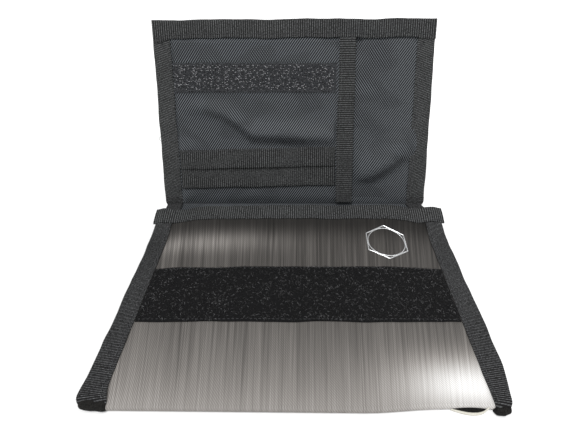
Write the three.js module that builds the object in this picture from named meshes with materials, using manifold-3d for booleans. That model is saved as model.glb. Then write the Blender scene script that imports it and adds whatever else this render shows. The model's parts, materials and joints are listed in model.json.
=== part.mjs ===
// A nylon document wallet: a flat pouch, a short spine and a cover flap that stands open.
// Every ply of cloth, every binding tape and both stiffener boards are separate closed solids.
// Millimetres. X runs across the wallet, Y from the pouch's bottom fold to the spine, Z up.
// The origin is on the table, in the middle of the ground that the pouch and the spine cover.
import * as THREE from 'three';
import { mergeVertices } from 'three/addons/utils/BufferGeometryUtils.js';
import Module from 'manifold-3d';

// Driving dimensions of the three panels.
const POUCH_WIDTH = 255;
const POUCH_DEPTH = 178.5;
const SPINE_DEPTH = 20.5;
const FOLD_GAP = 1.5;
const FLAP_WIDTH = 245;
const FLAP_HEIGHT = 162.3;
const FLAP_SHIFT = -4.6;
const FLAP_LEAN = 24;

// Cloth, board and tape.
const TAPE_WIDTH = 15;
const TAPE = 0.8;
const THIN_TAPE = 0.6;
const SLIM_TAPE = 0.4;
const CLOTH = 0.6;
const LINING = 0.5;
const POCKET = 0.4;
const BOARD = 0.8;
const PLY_GAP = 0.2;
const END_GAP = 0.3;
const TAPE_CORNER = 0.5;
const TAPE_BEND = 0.2;
const LIP_CORNER = 0.3;
const HEM = 6;

// The pouch's front rises in an arch towards its mouth.
const MOUTH_RISE = 11.2;
const RISE_POWER = 3;

// Strips and emblem on the pouch's front, measured from the bottom fold.
const LOOP_STRIP_START = 60.2;
const LOOP_STRIP_END = 110.8;
const LOOP_STRIP_THICK = 2;
const EMBLEM_X = 74;
const EMBLEM_Y = 38.6;
const EMBLEM_WIDTH = 33;
const EMBLEM_LINE = 1.1;
const EMBLEM_THICK = 0.4;
const EMBLEM_CIRCLE_SIDES = 48;

// Pockets and strips on the flap, as heights above the flap's fold.
const DOCUMENT_POCKET_START = 1;
const LOWER_POCKET_MOUTH = 17.3;
const UPPER_POCKET_MOUTH = 35.4;
const UPPER_STRIP_TOP = 53.3;
const HOOK_STRIP_START = 102.2;
const HOOK_STRIP_END = 126.8;
const HOOK_STRIP_THICK = 1.6;
const DIVIDER_START = 40;
const DIVIDER_END = 55.6;

// Places that follow from those.
const NEAR = -(POUCH_DEPTH + FOLD_GAP + SPINE_DEPTH) / 2;
const MOUTH = NEAR + POUCH_DEPTH;
const SPINE_FOLD = MOUTH + FOLD_GAP;
const FLAP_FOLD = SPINE_FOLD + SPINE_DEPTH;
const FOLD_LEVEL = 3.4;
const HALF_POUCH = POUCH_WIDTH / 2;
const HALF_FLAP = FLAP_WIDTH / 2;
const CLEAR_WIDTH = HALF_POUCH - TAPE_WIDTH;

// Levels of the pouch's plies: under the side bindings, and between them for the ones that differ.
const BACK_EDGE = TAPE + PLY_GAP;
const BACK_TOP = BACK_EDGE + CLOTH;
const BACK_LINING = BACK_TOP + PLY_GAP;
const FRONT_LINING = BACK_LINING + LINING + PLY_GAP;
const FRONT_PANEL = FRONT_LINING + LINING + PLY_GAP;
const FRONT_TOP = FRONT_PANEL + CLOTH;
const POUCH_TAPE_HEIGHT = FRONT_TOP + PLY_GAP + TAPE;
const SPINE_TAPE_HEIGHT = BACK_LINING + LINING + PLY_GAP + TAPE;

// Levels of the flap's plies above its outer face, as [under the edge tapes, between them].
const COVER_LEVEL = [THIN_TAPE + PLY_GAP, 0];
const FLAP_LINING_LEVEL = [1.6, 2.0];
const DOCUMENT_LEVEL = [2.3, 3.5];
const LOWER_POCKET_LEVEL = [2.9, 4.7];
const UPPER_POCKET_LEVEL = [3.5, 5.9];
const LOWER_POCKET_AT_DIVIDER = 4.1;
const UPPER_POCKET_AT_DIVIDER = 4.7;
const PLAIN_TAPE_HEIGHT = 2.9;
const POCKET_TAPE_HEIGHT = 4.7;
const FLAP_TAPE_START = 2.2;
const DIVIDER_TAPE_START = 4.2;

// How far the boards and the linings stop short of their edges and the mouth tape passes them,
// where the front leaves its bottom fold, and where the top tape steps down past the divider.
const FOLD_CLEAR = 2;
const BOARD_INSET = 2;
const BOARD_START = 8;
const FLAP_BOARD_START = 3;
const LINING_START = 4;
const MOUTH_OVERHANG = 1;
const TOP_TAPE_STEP_START = 2;
const TOP_TAPE_STEP = 5;

// Stations where neighbouring sheets bend, so that they stay parallel.
const STEP_OUT = 0.2;
const STEP_IN = 1.2;
const LEVEL_RAMP = 2.7;
const ARCH_STATIONS = [0, 25, 48, 66, 80, 92, 102];
const RISE_STATIONS = [0, 0.15, 0.307, 0.45, 0.597, 0.72, 0.82, 0.914];

// Colours are sRGB.
const PRINT_COLOUR = 0x7a7773;
const LINING_COLOUR = 0x4a4d50;
const BINDING_COLOUR = 0x3b3d40;
const POUCH_BINDING_COLOUR = 0x313235;
const STRIP_COLOUR = 0x202123;
const BOARD_COLOUR = 0x2a2a2c;
const SILVER_COLOUR = 0xd7d9da;

const wallet = new THREE.Group();

function addMesh(parent, name, geometry, colour, roughness = 0.9, metalness = 0) {
  const material = new THREE.MeshStandardMaterial({ color: colour, roughness, metalness });
  const mesh = new THREE.Mesh(geometry, material);
  mesh.name = name;
  parent.add(mesh);
}

function signedVolume(points, index) {
  const [a, b, c] = [new THREE.Vector3(), new THREE.Vector3(), new THREE.Vector3()];
  let sum = 0;
  for (let i = 0; i < index.length; i += 3) {
    a.fromArray(points, 3 * index[i]);
    b.fromArray(points, 3 * index[i + 1]);
    c.fromArray(points, 3 * index[i + 2]);
    sum += a.dot(b.cross(c));
  }
  return sum / 6;
}

function solidGeometry(points, index) {
  const ordered = signedVolume(points, index) < 0 ? index.slice().reverse() : index;
  const geometry = new THREE.BufferGeometry();
  geometry.setAttribute('position', new THREE.Float32BufferAttribute(points, 3));
  geometry.setIndex(ordered);
  return geometry;
}

// A closed solid between two grids of points, outer(i, j) and inner(i, j), with a rim round the grid.
function slab(rows, columns, outer, inner) {
  const points = [];
  const index = [];
  for (const side of [outer, inner]) {
    for (let i = 0; i < rows; i++) {
      for (let j = 0; j < columns; j++) {
        points.push(...side(i, j));
      }
    }
  }
  const at = (side, i, j) => (side * rows + i) * columns + j;
  const quad = (a, b, c, d) => index.push(a, b, c, a, c, d);
  for (let i = 0; i < rows - 1; i++) {
    for (let j = 0; j < columns - 1; j++) {
      quad(at(0, i, j), at(0, i + 1, j), at(0, i + 1, j + 1), at(0, i, j + 1));
      quad(at(1, i, j), at(1, i, j + 1), at(1, i + 1, j + 1), at(1, i + 1, j));
    }
    quad(at(0, i, 0), at(1, i, 0), at(1, i + 1, 0), at(0, i + 1, 0));
    const last = columns - 1;
    quad(at(0, i, last), at(0, i + 1, last), at(1, i + 1, last), at(1, i, last));
  }
  for (let j = 0; j < columns - 1; j++) {
    const last = rows - 1;
    quad(at(0, 0, j), at(0, 0, j + 1), at(1, 0, j + 1), at(1, 0, j));
    quad(at(0, last, j), at(1, last, j), at(1, last, j + 1), at(0, last, j + 1));
  }
  return solidGeometry(points, index);
}

// A sheet over the stations xs and ys, whose underside is at level(x, y).
function sheet(xs, ys, level, thickness, shift = () => 0) {
  const point = (i, j, lift) => [xs[i] + shift(xs[i], ys[j]), ys[j], level(xs[i], ys[j]) + lift];
  return slab(xs.length, ys.length, (i, j) => point(i, j, thickness), (i, j) => point(i, j, 0));
}

// The section of a tape folded round an edge: [distance in from the fold, height].
function foldedTape(width, low, high, thickness) {
  const outer = [
    [width, low], [TAPE_CORNER, low], [0, low + TAPE_CORNER],
    [0, high - TAPE_CORNER], [TAPE_CORNER, high], [width, high],
  ];
  const floor = low + thickness;
  const roof = high - thickness;
  const inner = [
    [width, floor], [thickness + TAPE_BEND, floor], [thickness, floor + TAPE_BEND],
    [thickness, roof - TAPE_BEND], [thickness + TAPE_BEND, roof], [width, roof],
  ];
  return { outer, inner };
}

// A folded tape along stations: section(s) is its section there, and place(s, a, b) puts a
// section point in space.
function binding(stations, section, place) {
  const point = (i, j, side) => place(stations[i], ...section(stations[i])[side][j]);
  const count = section(stations[0]).outer.length;
  return slab(stations.length, count, (i, j) => point(i, j, 'outer'), (i, j) => point(i, j, 'inner'));
}

function mirrored(stations) {
  const positive = stations.filter((x) => x > 0);
  const negative = positive.map((x) => -x).reverse();
  return [...negative, ...(stations.includes(0) ? [0] : []), ...positive];
}

function between(stations, low, high) {
  const clear = 0.5;
  return [low, ...stations.filter((s) => s > low + clear && s < high - clear), high];
}

// How far the pouch's front stands up above its flat edge level.
function rise(x, y) {
  const across = 1 - Math.min(1, Math.abs(x) / CLEAR_WIDTH) ** 4;
  const along = Math.max(0, (y - NEAR) / POUCH_DEPTH) ** RISE_POWER;
  return MOUTH_RISE * across * along;
}

// Under the side bindings the outer cloth lies above the tape; between them it lies on the table.
function outerClothLevel(x) {
  return Math.abs(x) > CLEAR_WIDTH - STEP_IN / 2 ? BACK_EDGE : 0;
}

const plyEdge = HALF_POUCH - TAPE - END_GAP;
const stepStations = [CLEAR_WIDTH - STEP_IN, CLEAR_WIDTH - STEP_OUT, plyEdge];
const archAcross = mirrored([...ARCH_STATIONS, ...stepStations]);
const flatAcross = mirrored([0, ...stepStations]);
const riseAlong = RISE_STATIONS.map((share) => NEAR + share * POUCH_DEPTH);

function frontPanel() {
  const arcSteps = 6;
  const foldCentre = (x) => (FRONT_TOP + outerClothLevel(x)) / 2;
  const radius = (x) => (FRONT_TOP - outerClothLevel(x)) / 2;
  const foldY = NEAR + FRONT_TOP / 2;
  const top = between(riseAlong, foldY + FOLD_CLEAR, MOUTH - END_GAP);
  const profile = (x, inset) => {
    const path = [[foldY + HEM, outerClothLevel(x) + inset]];
    for (let k = 0; k <= arcSteps; k++) {
      const angle = -Math.PI / 2 - (Math.PI * k) / arcSteps;
      const r = radius(x) - inset;
      path.push([foldY + r * Math.cos(angle), foldCentre(x) + r * Math.sin(angle)]);
    }
    path.push(...top.map((y) => [y, FRONT_TOP - inset + rise(x, y)]));
    return path;
  };
  const count = top.length + arcSteps + 2;
  const place = (i, j, inset) => [archAcross[i], ...profile(archAcross[i], inset)[j]];
  return slab(archAcross.length, count, (i, j) => place(i, j, 0), (i, j) => place(i, j, CLOTH));
}

function backCover() {
  const start = NEAR + FRONT_TOP / 2 + HEM + END_GAP;
  return sheet(flatAcross, [start, SPINE_FOLD - END_GAP], outerClothLevel, CLOTH);
}

function backStiffener() {
  const reach = CLEAR_WIDTH - BOARD_INSET;
  const ys = [NEAR + BOARD_START, SPINE_FOLD - BOARD_INSET];
  return sheet([-reach, reach], ys, () => CLOTH + PLY_GAP, BOARD);
}

function backLining() {
  const ys = [NEAR + LINING_START, SPINE_FOLD - END_GAP];
  return sheet([-plyEdge, plyEdge], ys, () => BACK_LINING, LINING);
}

function frontLining() {
  const ys = between(riseAlong, NEAR + LINING_START, MOUTH - END_GAP);
  return sheet(archAcross, ys, (x, y) => FRONT_LINING + rise(x, y), LINING);
}

function loopStrip() {
  const xs = mirrored([...ARCH_STATIONS, CLEAR_WIDTH - END_GAP - PLY_GAP]);
  const ys = between(riseAlong, NEAR + LOOP_STRIP_START, NEAR + LOOP_STRIP_END);
  return sheet(xs, ys, (x, y) => FRONT_TOP + PLY_GAP + rise(x, y), LOOP_STRIP_THICK);
}

// The mouth tape wraps the arch's lip. Near the sides, where the pouch has no room inside, only its top
// leaf goes on, and its ends lie over the side bindings.
function mouthBinding() {
  const overhang = HALF_POUCH + MOUTH_OVERHANG;
  const wrapEnd = ARCH_STATIONS.at(-1);
  const climb = CLEAR_WIDTH - 2 * STEP_OUT;
  const shrink = 0.1;
  const past = [wrapEnd + shrink, wrapEnd + 2 * shrink, CLEAR_WIDTH - STEP_IN, climb, overhang];
  const stations = mirrored([...ARCH_STATIONS, ...past]);
  const lift = (x, y) => (Math.abs(x) >= climb ? POUCH_TAPE_HEIGHT : FRONT_TOP + rise(x, y)) + PLY_GAP;
  const lip = MOUTH + TAPE / 2 + PLY_GAP;
  const start = MOUTH - TAPE_WIDTH + TAPE;
  const insideDrop = FRONT_TOP - FRONT_LINING + 2 * PLY_GAP + END_GAP;
  const profile = (x, inset) => {
    const edge = lip - inset;
    const drop = (Math.abs(x) < wrapEnd + 1.5 * shrink ? insideDrop : TAPE) + TAPE - inset;
    const end = Math.abs(x) <= wrapEnd ? start : edge - LIP_CORNER / 2;
    return [
      [start, lift(x, start) + TAPE - inset],
      [edge - LIP_CORNER, lift(x, edge) + TAPE - inset],
      [edge, lift(x, edge) + TAPE - inset - LIP_CORNER],
      [edge, lift(x, edge) - drop + LIP_CORNER / 2],
      [edge - LIP_CORNER / 3, lift(x, edge) - drop],
      [end, lift(x, end) - drop],
    ];
  };
  const place = (i, j, inset) => [stations[i], ...profile(stations[i], inset)[j]];
  return slab(stations.length, 6, (i, j) => place(i, j, 0), (i, j) => place(i, j, TAPE));
}

function pouchBinding(side) {
  const section = () => foldedTape(TAPE_WIDTH, 0, POUCH_TAPE_HEIGHT, TAPE);
  const ends = [NEAR, MOUTH - 2 * PLY_GAP];
  return binding(ends, section, (y, a, b) => [side * (HALF_POUCH - a), y, b]);
}

// A hexagonal outline with a round line inside it, lying on the arched front.
async function emblem() {
  const wasm = await Module();
  wasm.setup();
  const ring = (outerRadius, sides, turn) => {
    const outline = new THREE.Shape();
    const hole = new THREE.Path();
    for (const [path, radius] of [[outline, outerRadius], [hole, outerRadius - EMBLEM_LINE]]) {
      for (let k = 0; k < sides; k++) {
        const angle = turn + (2 * Math.PI * k) / sides;
        const point = [radius * Math.cos(angle), radius * Math.sin(angle)];
        path[k ? 'lineTo' : 'moveTo'](...point);
      }
      path.closePath();
    }
    outline.holes.push(hole);
    const solid = new THREE.ExtrudeGeometry(outline, { depth: EMBLEM_THICK, bevelEnabled: false });
    solid.deleteAttribute('normal');
    solid.deleteAttribute('uv');
    const merged = mergeVertices(solid, 1e-3);
    return new wasm.Manifold(new wasm.Mesh({
      numProp: 3,
      vertProperties: merged.attributes.position.array,
      triVerts: merged.index.array,
    }));
  };
  const hexRadius = EMBLEM_WIDTH / Math.sqrt(3);
  const circleRadius = (EMBLEM_WIDTH - EMBLEM_LINE) / 2;
  const circle = ring(circleRadius, EMBLEM_CIRCLE_SIDES, 0);
  const joined = ring(hexRadius, 6, Math.PI / 6).add(circle).getMesh();
  const points = Array.from(joined.vertProperties);
  for (let i = 0; i < points.length; i += 3) {
    points[i] += EMBLEM_X;
    points[i + 1] += EMBLEM_Y;
    points[i + 2] += FRONT_TOP + END_GAP + rise(points[i], points[i + 1]);
  }
  return solidGeometry(points, Array.from(joined.triVerts));
}

// The spine narrows from the pouch's width to the flap's.
function spineEdge(side, y) {
  const share = (y - SPINE_FOLD) / SPINE_DEPTH;
  const pouchEdge = side * HALF_POUCH;
  const flapEdge = FLAP_SHIFT + side * HALF_FLAP;
  return pouchEdge + share * (flapEdge - pouchEdge);
}

function spineSheet(level, thickness) {
  const shift = (x, y) => (x === 0 ? 0 : spineEdge(Math.sign(x), y) - Math.sign(x) * HALF_POUCH);
  const ys = [SPINE_FOLD + END_GAP, FLAP_FOLD - END_GAP];
  return sheet(flatAcross, ys, level, thickness, shift);
}

function spineLiningLevel(x) {
  return outerClothLevel(x) + CLOTH + PLY_GAP;
}

function spineBinding(side) {
  const stations = [SPINE_FOLD + END_GAP, FLAP_FOLD - END_GAP];
  const section = () => foldedTape(TAPE_WIDTH, 0, SPINE_TAPE_HEIGHT, TAPE);
  return binding(stations, section, (y, a, b) => [spineEdge(side, y) - side * a, y, b]);
}

// The flap is drawn flat, u across, h up from its fold and w from its outer face, and turned into place.
const flapEdgeU = HALF_FLAP - THIN_TAPE - END_GAP;
const flapEdgeH = FLAP_HEIGHT - THIN_TAPE - END_GAP;
const sideTapeInner = HALF_FLAP - TAPE_WIDTH;
const topTapeInner = FLAP_HEIGHT - TAPE_WIDTH;

// 0 under the edge tapes, 1 between them, with a short ramp beside each tape.
function openShare(u, h) {
  const fromSide = (sideTapeInner - STEP_OUT - Math.abs(u)) / (LEVEL_RAMP - STEP_OUT);
  const fromTop = (topTapeInner - STEP_OUT - h) / (LEVEL_RAMP - STEP_OUT);
  return Math.max(0, Math.min(1, fromSide, fromTop));
}

function flapLevel([edge, middle], u, h) {
  return edge + (middle - edge) * openShare(u, h);
}

const sideStations = [sideTapeInner - LEVEL_RAMP, sideTapeInner - STEP_OUT, flapEdgeU];
const topStations = [topTapeInner - LEVEL_RAMP, topTapeInner - STEP_OUT, flapEdgeH];

function flapSheet(levels, thickness, start) {
  const level = (u, h) => flapLevel(levels, u, h);
  return sheet(mirrored(sideStations), [start, ...topStations], level, thickness);
}

function flapStiffener() {
  const reach = sideTapeInner - LEVEL_RAMP - END_GAP;
  const top = topTapeInner - LEVEL_RAMP - END_GAP;
  return sheet([-reach, reach], [FLAP_BOARD_START, top], () => CLOTH + PLY_GAP, BOARD + PLY_GAP);
}

// A pocket panel runs from the left tape to the divider, and from its mouth up to the top tape.
function pocketPanel(levels, atDivider, mouth) {
  const left = sideStations.map((u) => -u).reverse();
  const dividerRamp = DIVIDER_START - LEVEL_RAMP;
  const us = [...left, dividerRamp, DIVIDER_START - STEP_OUT, DIVIDER_END - THIN_TAPE - END_GAP];
  const level = (u, h) => {
    const middle = u > dividerRamp ? atDivider : levels[1];
    return flapLevel([levels[0], middle], u, h);
  };
  return sheet(us, [mouth, ...topStations], level, POCKET);
}

// The tape folded round a pocket's lower edge, between the left tape and the divider.
function pocketBinding(mouth, width, low) {
  const height = POCKET + 2 * (PLY_GAP + SLIM_TAPE);
  const ends = [-sideTapeInner + LEVEL_RAMP + END_GAP, DIVIDER_START - LEVEL_RAMP - END_GAP];
  const section = () => foldedTape(width, low, low + height, SLIM_TAPE);
  return binding(ends, section, (u, a, b) => [u, mouth - SLIM_TAPE - END_GAP + a, b]);
}

function hookStrip() {
  const ends = [-sideTapeInner + LEVEL_RAMP + END_GAP, DIVIDER_START - LEVEL_RAMP - END_GAP];
  const level = UPPER_POCKET_LEVEL[1] + POCKET + PLY_GAP;
  return sheet(ends, [HOOK_STRIP_START, HOOK_STRIP_END], () => level, HOOK_STRIP_THICK);
}

function dividerBinding() {
  const low = FLAP_LINING_LEVEL[1] + LINING + PLY_GAP;
  const high = UPPER_POCKET_AT_DIVIDER + POCKET + PLY_GAP + THIN_TAPE;
  const section = () => foldedTape(DIVIDER_END - DIVIDER_START, low, high, THIN_TAPE);
  const ends = [DIVIDER_TAPE_START, topTapeInner - LEVEL_RAMP - END_GAP];
  return binding(ends, section, (h, a, b) => [DIVIDER_END - a, h, b]);
}

function flapSideBinding(side, height) {
  const section = () => foldedTape(TAPE_WIDTH, 0, height, THIN_TAPE);
  const ends = [FLAP_TAPE_START, topTapeInner - END_GAP];
  return binding(ends, section, (h, a, b) => [side * (HALF_FLAP - a), h, b]);
}

// The top tape covers the pockets on the left and only the lining on the right.
function flapTopBinding() {
  const stepStart = DIVIDER_END + TOP_TAPE_STEP_START;
  const stepEnd = stepStart + TOP_TAPE_STEP;
  const height = (u) => (u <= stepStart ? POCKET_TAPE_HEIGHT : PLAIN_TAPE_HEIGHT);
  const stations = [-HALF_FLAP, stepStart, stepEnd, HALF_FLAP];
  const section = (u) => foldedTape(TAPE_WIDTH, 0, height(u), THIN_TAPE);
  return binding(stations, section, (u, a, b) => [u, FLAP_HEIGHT - a, b]);
}

addMesh(wallet, 'front_panel', frontPanel(), PRINT_COLOUR, 0.6);
addMesh(wallet, 'back_cover', backCover(), PRINT_COLOUR, 0.6);
addMesh(wallet, 'back_stiffener', backStiffener(), BOARD_COLOUR, 0.6);
addMesh(wallet, 'back_lining', backLining(), LINING_COLOUR);
addMesh(wallet, 'front_lining', frontLining(), LINING_COLOUR);
addMesh(wallet, 'loop_strip', loopStrip(), STRIP_COLOUR, 1);
addMesh(wallet, 'mouth_binding', mouthBinding(), BINDING_COLOUR);
addMesh(wallet, 'emblem', await emblem(), SILVER_COLOUR, 0.35, 0.8);
addMesh(wallet, 'spine_cover', spineSheet(outerClothLevel, CLOTH), PRINT_COLOUR, 0.6);
addMesh(wallet, 'spine_lining', spineSheet(spineLiningLevel, LINING), LINING_COLOUR);

const sides = [['left', -1], ['right', 1]];
for (const [name, side] of sides) {
  addMesh(wallet, `pouch_binding_${name}`, pouchBinding(side), POUCH_BINDING_COLOUR);
  addMesh(wallet, `spine_binding_${name}`, spineBinding(side), POUCH_BINDING_COLOUR);
}

const flapHinge = new THREE.Group();
flapHinge.position.set(FLAP_SHIFT, FLAP_FOLD, FOLD_LEVEL);
flapHinge.rotation.x = THREE.MathUtils.degToRad(90 - FLAP_LEAN);
wallet.add(flapHinge);

const flap = new THREE.Group();
flap.position.z = -FOLD_LEVEL;
flapHinge.add(flap);

const documentPocket = pocketPanel(DOCUMENT_LEVEL, DOCUMENT_LEVEL[1], DOCUMENT_POCKET_START);
const lowerPocket = pocketPanel(LOWER_POCKET_LEVEL, LOWER_POCKET_AT_DIVIDER, LOWER_POCKET_MOUTH);
const upperPocket = pocketPanel(UPPER_POCKET_LEVEL, UPPER_POCKET_AT_DIVIDER, UPPER_POCKET_MOUTH);
const lowerStripLow = LOWER_POCKET_LEVEL[1] - PLY_GAP - SLIM_TAPE;
const upperStripLow = UPPER_POCKET_LEVEL[1] - PLY_GAP - SLIM_TAPE;
const lowerStrip = pocketBinding(LOWER_POCKET_MOUTH, UPPER_POCKET_MOUTH - LOWER_POCKET_MOUTH, lowerStripLow);
const upperStrip = pocketBinding(UPPER_POCKET_MOUTH, UPPER_STRIP_TOP - UPPER_POCKET_MOUTH, upperStripLow);

addMesh(flap, 'flap_cover', flapSheet(COVER_LEVEL, CLOTH, END_GAP), PRINT_COLOUR, 0.6);
addMesh(flap, 'flap_stiffener', flapStiffener(), BOARD_COLOUR, 0.6);
addMesh(flap, 'flap_lining', flapSheet(FLAP_LINING_LEVEL, LINING, END_GAP), LINING_COLOUR);
addMesh(flap, 'document_pocket', documentPocket, LINING_COLOUR);
addMesh(flap, 'lower_card_pocket', lowerPocket, LINING_COLOUR);
addMesh(flap, 'lower_pocket_binding', lowerStrip, BINDING_COLOUR);
addMesh(flap, 'upper_card_pocket', upperPocket, LINING_COLOUR);
addMesh(flap, 'upper_pocket_binding', upperStrip, BINDING_COLOUR);
addMesh(flap, 'hook_strip', hookStrip(), STRIP_COLOUR, 1);
addMesh(flap, 'divider_binding', dividerBinding(), BINDING_COLOUR);
addMesh(flap, 'flap_binding_left', flapSideBinding(-1, POCKET_TAPE_HEIGHT), BINDING_COLOUR);
addMesh(flap, 'flap_binding_right', flapSideBinding(1, PLAIN_TAPE_HEIGHT), BINDING_COLOUR);
addMesh(flap, 'flap_binding_top', flapTopBinding(), BINDING_COLOUR);

export default wallet;
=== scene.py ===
import json
import math

import bpy
import numpy as np
from mathutils import Matrix, Vector


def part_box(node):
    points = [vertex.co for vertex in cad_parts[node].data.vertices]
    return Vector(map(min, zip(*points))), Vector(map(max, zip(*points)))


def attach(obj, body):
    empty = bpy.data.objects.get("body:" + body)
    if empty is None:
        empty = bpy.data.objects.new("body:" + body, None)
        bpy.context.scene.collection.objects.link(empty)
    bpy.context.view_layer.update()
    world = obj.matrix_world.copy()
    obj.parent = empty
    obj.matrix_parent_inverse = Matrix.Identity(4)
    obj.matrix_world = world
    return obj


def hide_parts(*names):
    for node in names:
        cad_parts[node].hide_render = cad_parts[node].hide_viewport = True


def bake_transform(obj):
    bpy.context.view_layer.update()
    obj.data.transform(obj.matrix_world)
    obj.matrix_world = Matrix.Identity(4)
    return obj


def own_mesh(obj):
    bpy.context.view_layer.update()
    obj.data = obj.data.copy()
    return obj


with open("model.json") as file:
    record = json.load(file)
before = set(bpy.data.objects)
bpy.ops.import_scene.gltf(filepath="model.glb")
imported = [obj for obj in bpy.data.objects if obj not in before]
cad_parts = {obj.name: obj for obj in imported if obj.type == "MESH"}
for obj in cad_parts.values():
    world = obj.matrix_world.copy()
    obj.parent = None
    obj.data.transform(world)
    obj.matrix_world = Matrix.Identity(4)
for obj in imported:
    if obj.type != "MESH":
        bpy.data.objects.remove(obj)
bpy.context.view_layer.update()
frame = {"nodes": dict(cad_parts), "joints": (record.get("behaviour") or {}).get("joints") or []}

# Everything below is drawn in millimetres in the CAD frame and made in metres.
MM = 0.001

# Plies and tapes, as the CAD part has them.
CLOTH = 0.6
LINING = 0.5
POCKET = 0.4
PLY_GAP = 0.2
POUCH_TAPE = 0.8
FLAP_TAPE = 0.6
SLIM_TAPE = 0.4
BACK_EDGE = POUCH_TAPE + PLY_GAP
BACK_LINING = BACK_EDGE + CLOTH + PLY_GAP
FRONT_LINING = BACK_LINING + LINING + PLY_GAP
FRONT_PANEL = FRONT_LINING + LINING + PLY_GAP
FRONT_TOP = FRONT_PANEL + CLOTH

# Fineness of the surface detail.
RIB = 1.9
SIDE_RIB = 1.25
SIDE_SLANT = -0.14
EDGE_RIB = 1.5
EDGE_SLANT = 0.3
ROWS_PER_RIB = 4
STITCH_PITCH = 3.1
STITCH_LENGTH = 2.3
STITCH_RADIUS = 0.24

# The print's strength and how far its streaks fan out, and the pitch of the lining's weave.
PRINT_GAIN = 0.76
FAN = 0.0022
WEAVE = 2.2


def box_mm(node):
    low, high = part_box(node)
    return np.array(low) / MM, np.array(high) / MM


def joint(name):
    return next(j for j in frame["joints"] if j["name"] == name)


right_box = box_mm("pouch_binding_right")
front_box = box_mm("front_panel")
loop_box = box_mm("loop_strip")
mouth_box = box_mm("mouth_binding")
NEAR = right_box[0][1]
HALF_POUCH = right_box[1][0]
TAPE_INNER = right_box[0][0]
POUCH_TAPE_TOP = right_box[1][2]
PLY_EDGE = front_box[1][0]
FRONT_END = front_box[1][1]
MOUTH_LIP = mouth_box[1][1]
SPINE_FOLD = joint("spine_fold")["pos_m"][1] / MM
SPINE_TAPE_TOP = box_mm("spine_binding_left")[1][2]
MOUTH_RISE = 11.2
MOUTH_TAPE_WIDTH = 15.0
MOUTH_END = mouth_box[1][0] + 0.6

# The bottom fold, the pucker that lifts it near the right corner, and the rounding of the near corners.
FOLD_Y = NEAR + FRONT_TOP / 2
PUCKER_X = 98.5
PUCKER_HALF = 11.5
CORNER_ROUND = 7.0

# The flap is drawn flat, u across, h up from its fold and w from its outer face, then turned into place.
FLAP_FOLD = joint("flap_fold")["pos_m"][1] / MM
FOLD_LEVEL = joint("flap_fold")["pos_m"][2] / MM
FLAP_TURN = math.radians(-joint("flap_fold")["range_deg"][0])
FLAP_SHIFT = float(np.mean([box_mm("flap_cover")[0][0], box_mm("flap_cover")[1][0]]))


def flap_point(u, h, w):
    """A point of the flap in the CAD frame."""
    up, out = h, w - FOLD_LEVEL
    y = FLAP_FOLD + up * math.cos(FLAP_TURN) - out * math.sin(FLAP_TURN)
    z = FOLD_LEVEL + up * math.sin(FLAP_TURN) + out * math.cos(FLAP_TURN)
    return stack(u + FLAP_SHIFT, y, z)


def flap_box(node):
    """Lowest and highest (u, h, w) of a node on the flap."""
    points = np.array([v.co for v in frame["nodes"][node].data.vertices]) / MM
    y, z = points[:, 1] - FLAP_FOLD, points[:, 2] - FOLD_LEVEL
    h = y * math.cos(FLAP_TURN) + z * math.sin(FLAP_TURN)
    w = z * math.cos(FLAP_TURN) - y * math.sin(FLAP_TURN) + FOLD_LEVEL
    local = np.stack([points[:, 0] - FLAP_SHIFT, h, w], 1)
    return local.min(0), local.max(0)


def stack(*parts):
    return np.stack(np.broadcast_arrays(*parts), -1).astype(float)


top_tape = flap_box("flap_binding_top")
side_tape = flap_box("flap_binding_left")
right_tape = flap_box("flap_binding_right")
divider = flap_box("divider_binding")
hooks = flap_box("hook_strip")
upper_strip = flap_box("upper_pocket_binding")
lower_strip = flap_box("lower_pocket_binding")
FLAP_HALF = top_tape[1][0]
FLAP_TOP = top_tape[1][1]
FLAP_TAPE_INNER = -side_tape[1][0]
FLAP_TAPE_WIDTH = FLAP_HALF - FLAP_TAPE_INNER
FLAP_PLY_EDGE = flap_box("flap_cover")[1][0]
FLAP_PLY_TOP = flap_box("flap_cover")[1][1]
FLAP_START = 6.0
CREASE_START = SPINE_FOLD - 4
CREASE_MIDDLE = SPINE_FOLD + 10
TURN_LENGTH = 4.0
CREASE_END = FLAP_FOLD + TURN_LENGTH + FLAP_START

# By side, -1 left and 1 right: the height of the flap's tape at its foot, how far its outer edge stands
# out at the foot and at the top, and how far its inner edge is moved out.
FLAP_TAPE_BASE = {-1: 3.4, 1: 2.9}
FLAP_FLARE = {-1: (1.7, 0.0), 1: (3.4, 1.5)}
INNER_SHIFT = {-1: 0.0, 1: 1.6}

# The divider and the pockets left of it, and the levels of the flap's lining.
DIVIDER_LEFT = divider[0][0]
DIVIDER_RIGHT = divider[1][0]
PANEL_LEFT = -FLAP_PLY_EDGE
PANEL_RIGHT = DIVIDER_RIGHT - 0.9
STRIP_SLOPE = 3.2
FLAP_LINING_EDGE = 1.6
FLAP_LINING_MIDDLE = 2.0


# ---------------------------------------------------------------- curves and noise

def smooth(t):
    t = np.clip(t, 0, 1)
    return t * t * (3 - 2 * t)


def hump(t):
    """1 at t = 0, falling smoothly to 0 at t = -1 and 1."""
    return np.where(np.abs(t) < 1, np.cos(np.clip(t, -1, 1) * math.pi / 2) ** 2, 0.0)


def spread(low, high, step):
    return np.linspace(low, high, max(2, int(math.ceil((high - low) / step)) + 1))


def stations(*runs):
    """The stations of several runs, sorted and each once."""
    return np.unique(np.round(np.concatenate(runs), 3))


def wobble(s, seed, wavelength, size):
    """A smooth irregular wave along s."""
    draw = np.random.default_rng(seed)
    total = 0
    for k in (1.0, 1.9, 3.3):
        total = total + np.sin(2 * math.pi * s * k / wavelength + draw.uniform(0, 2 * math.pi)) / k
    return size * total / 1.5


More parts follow.
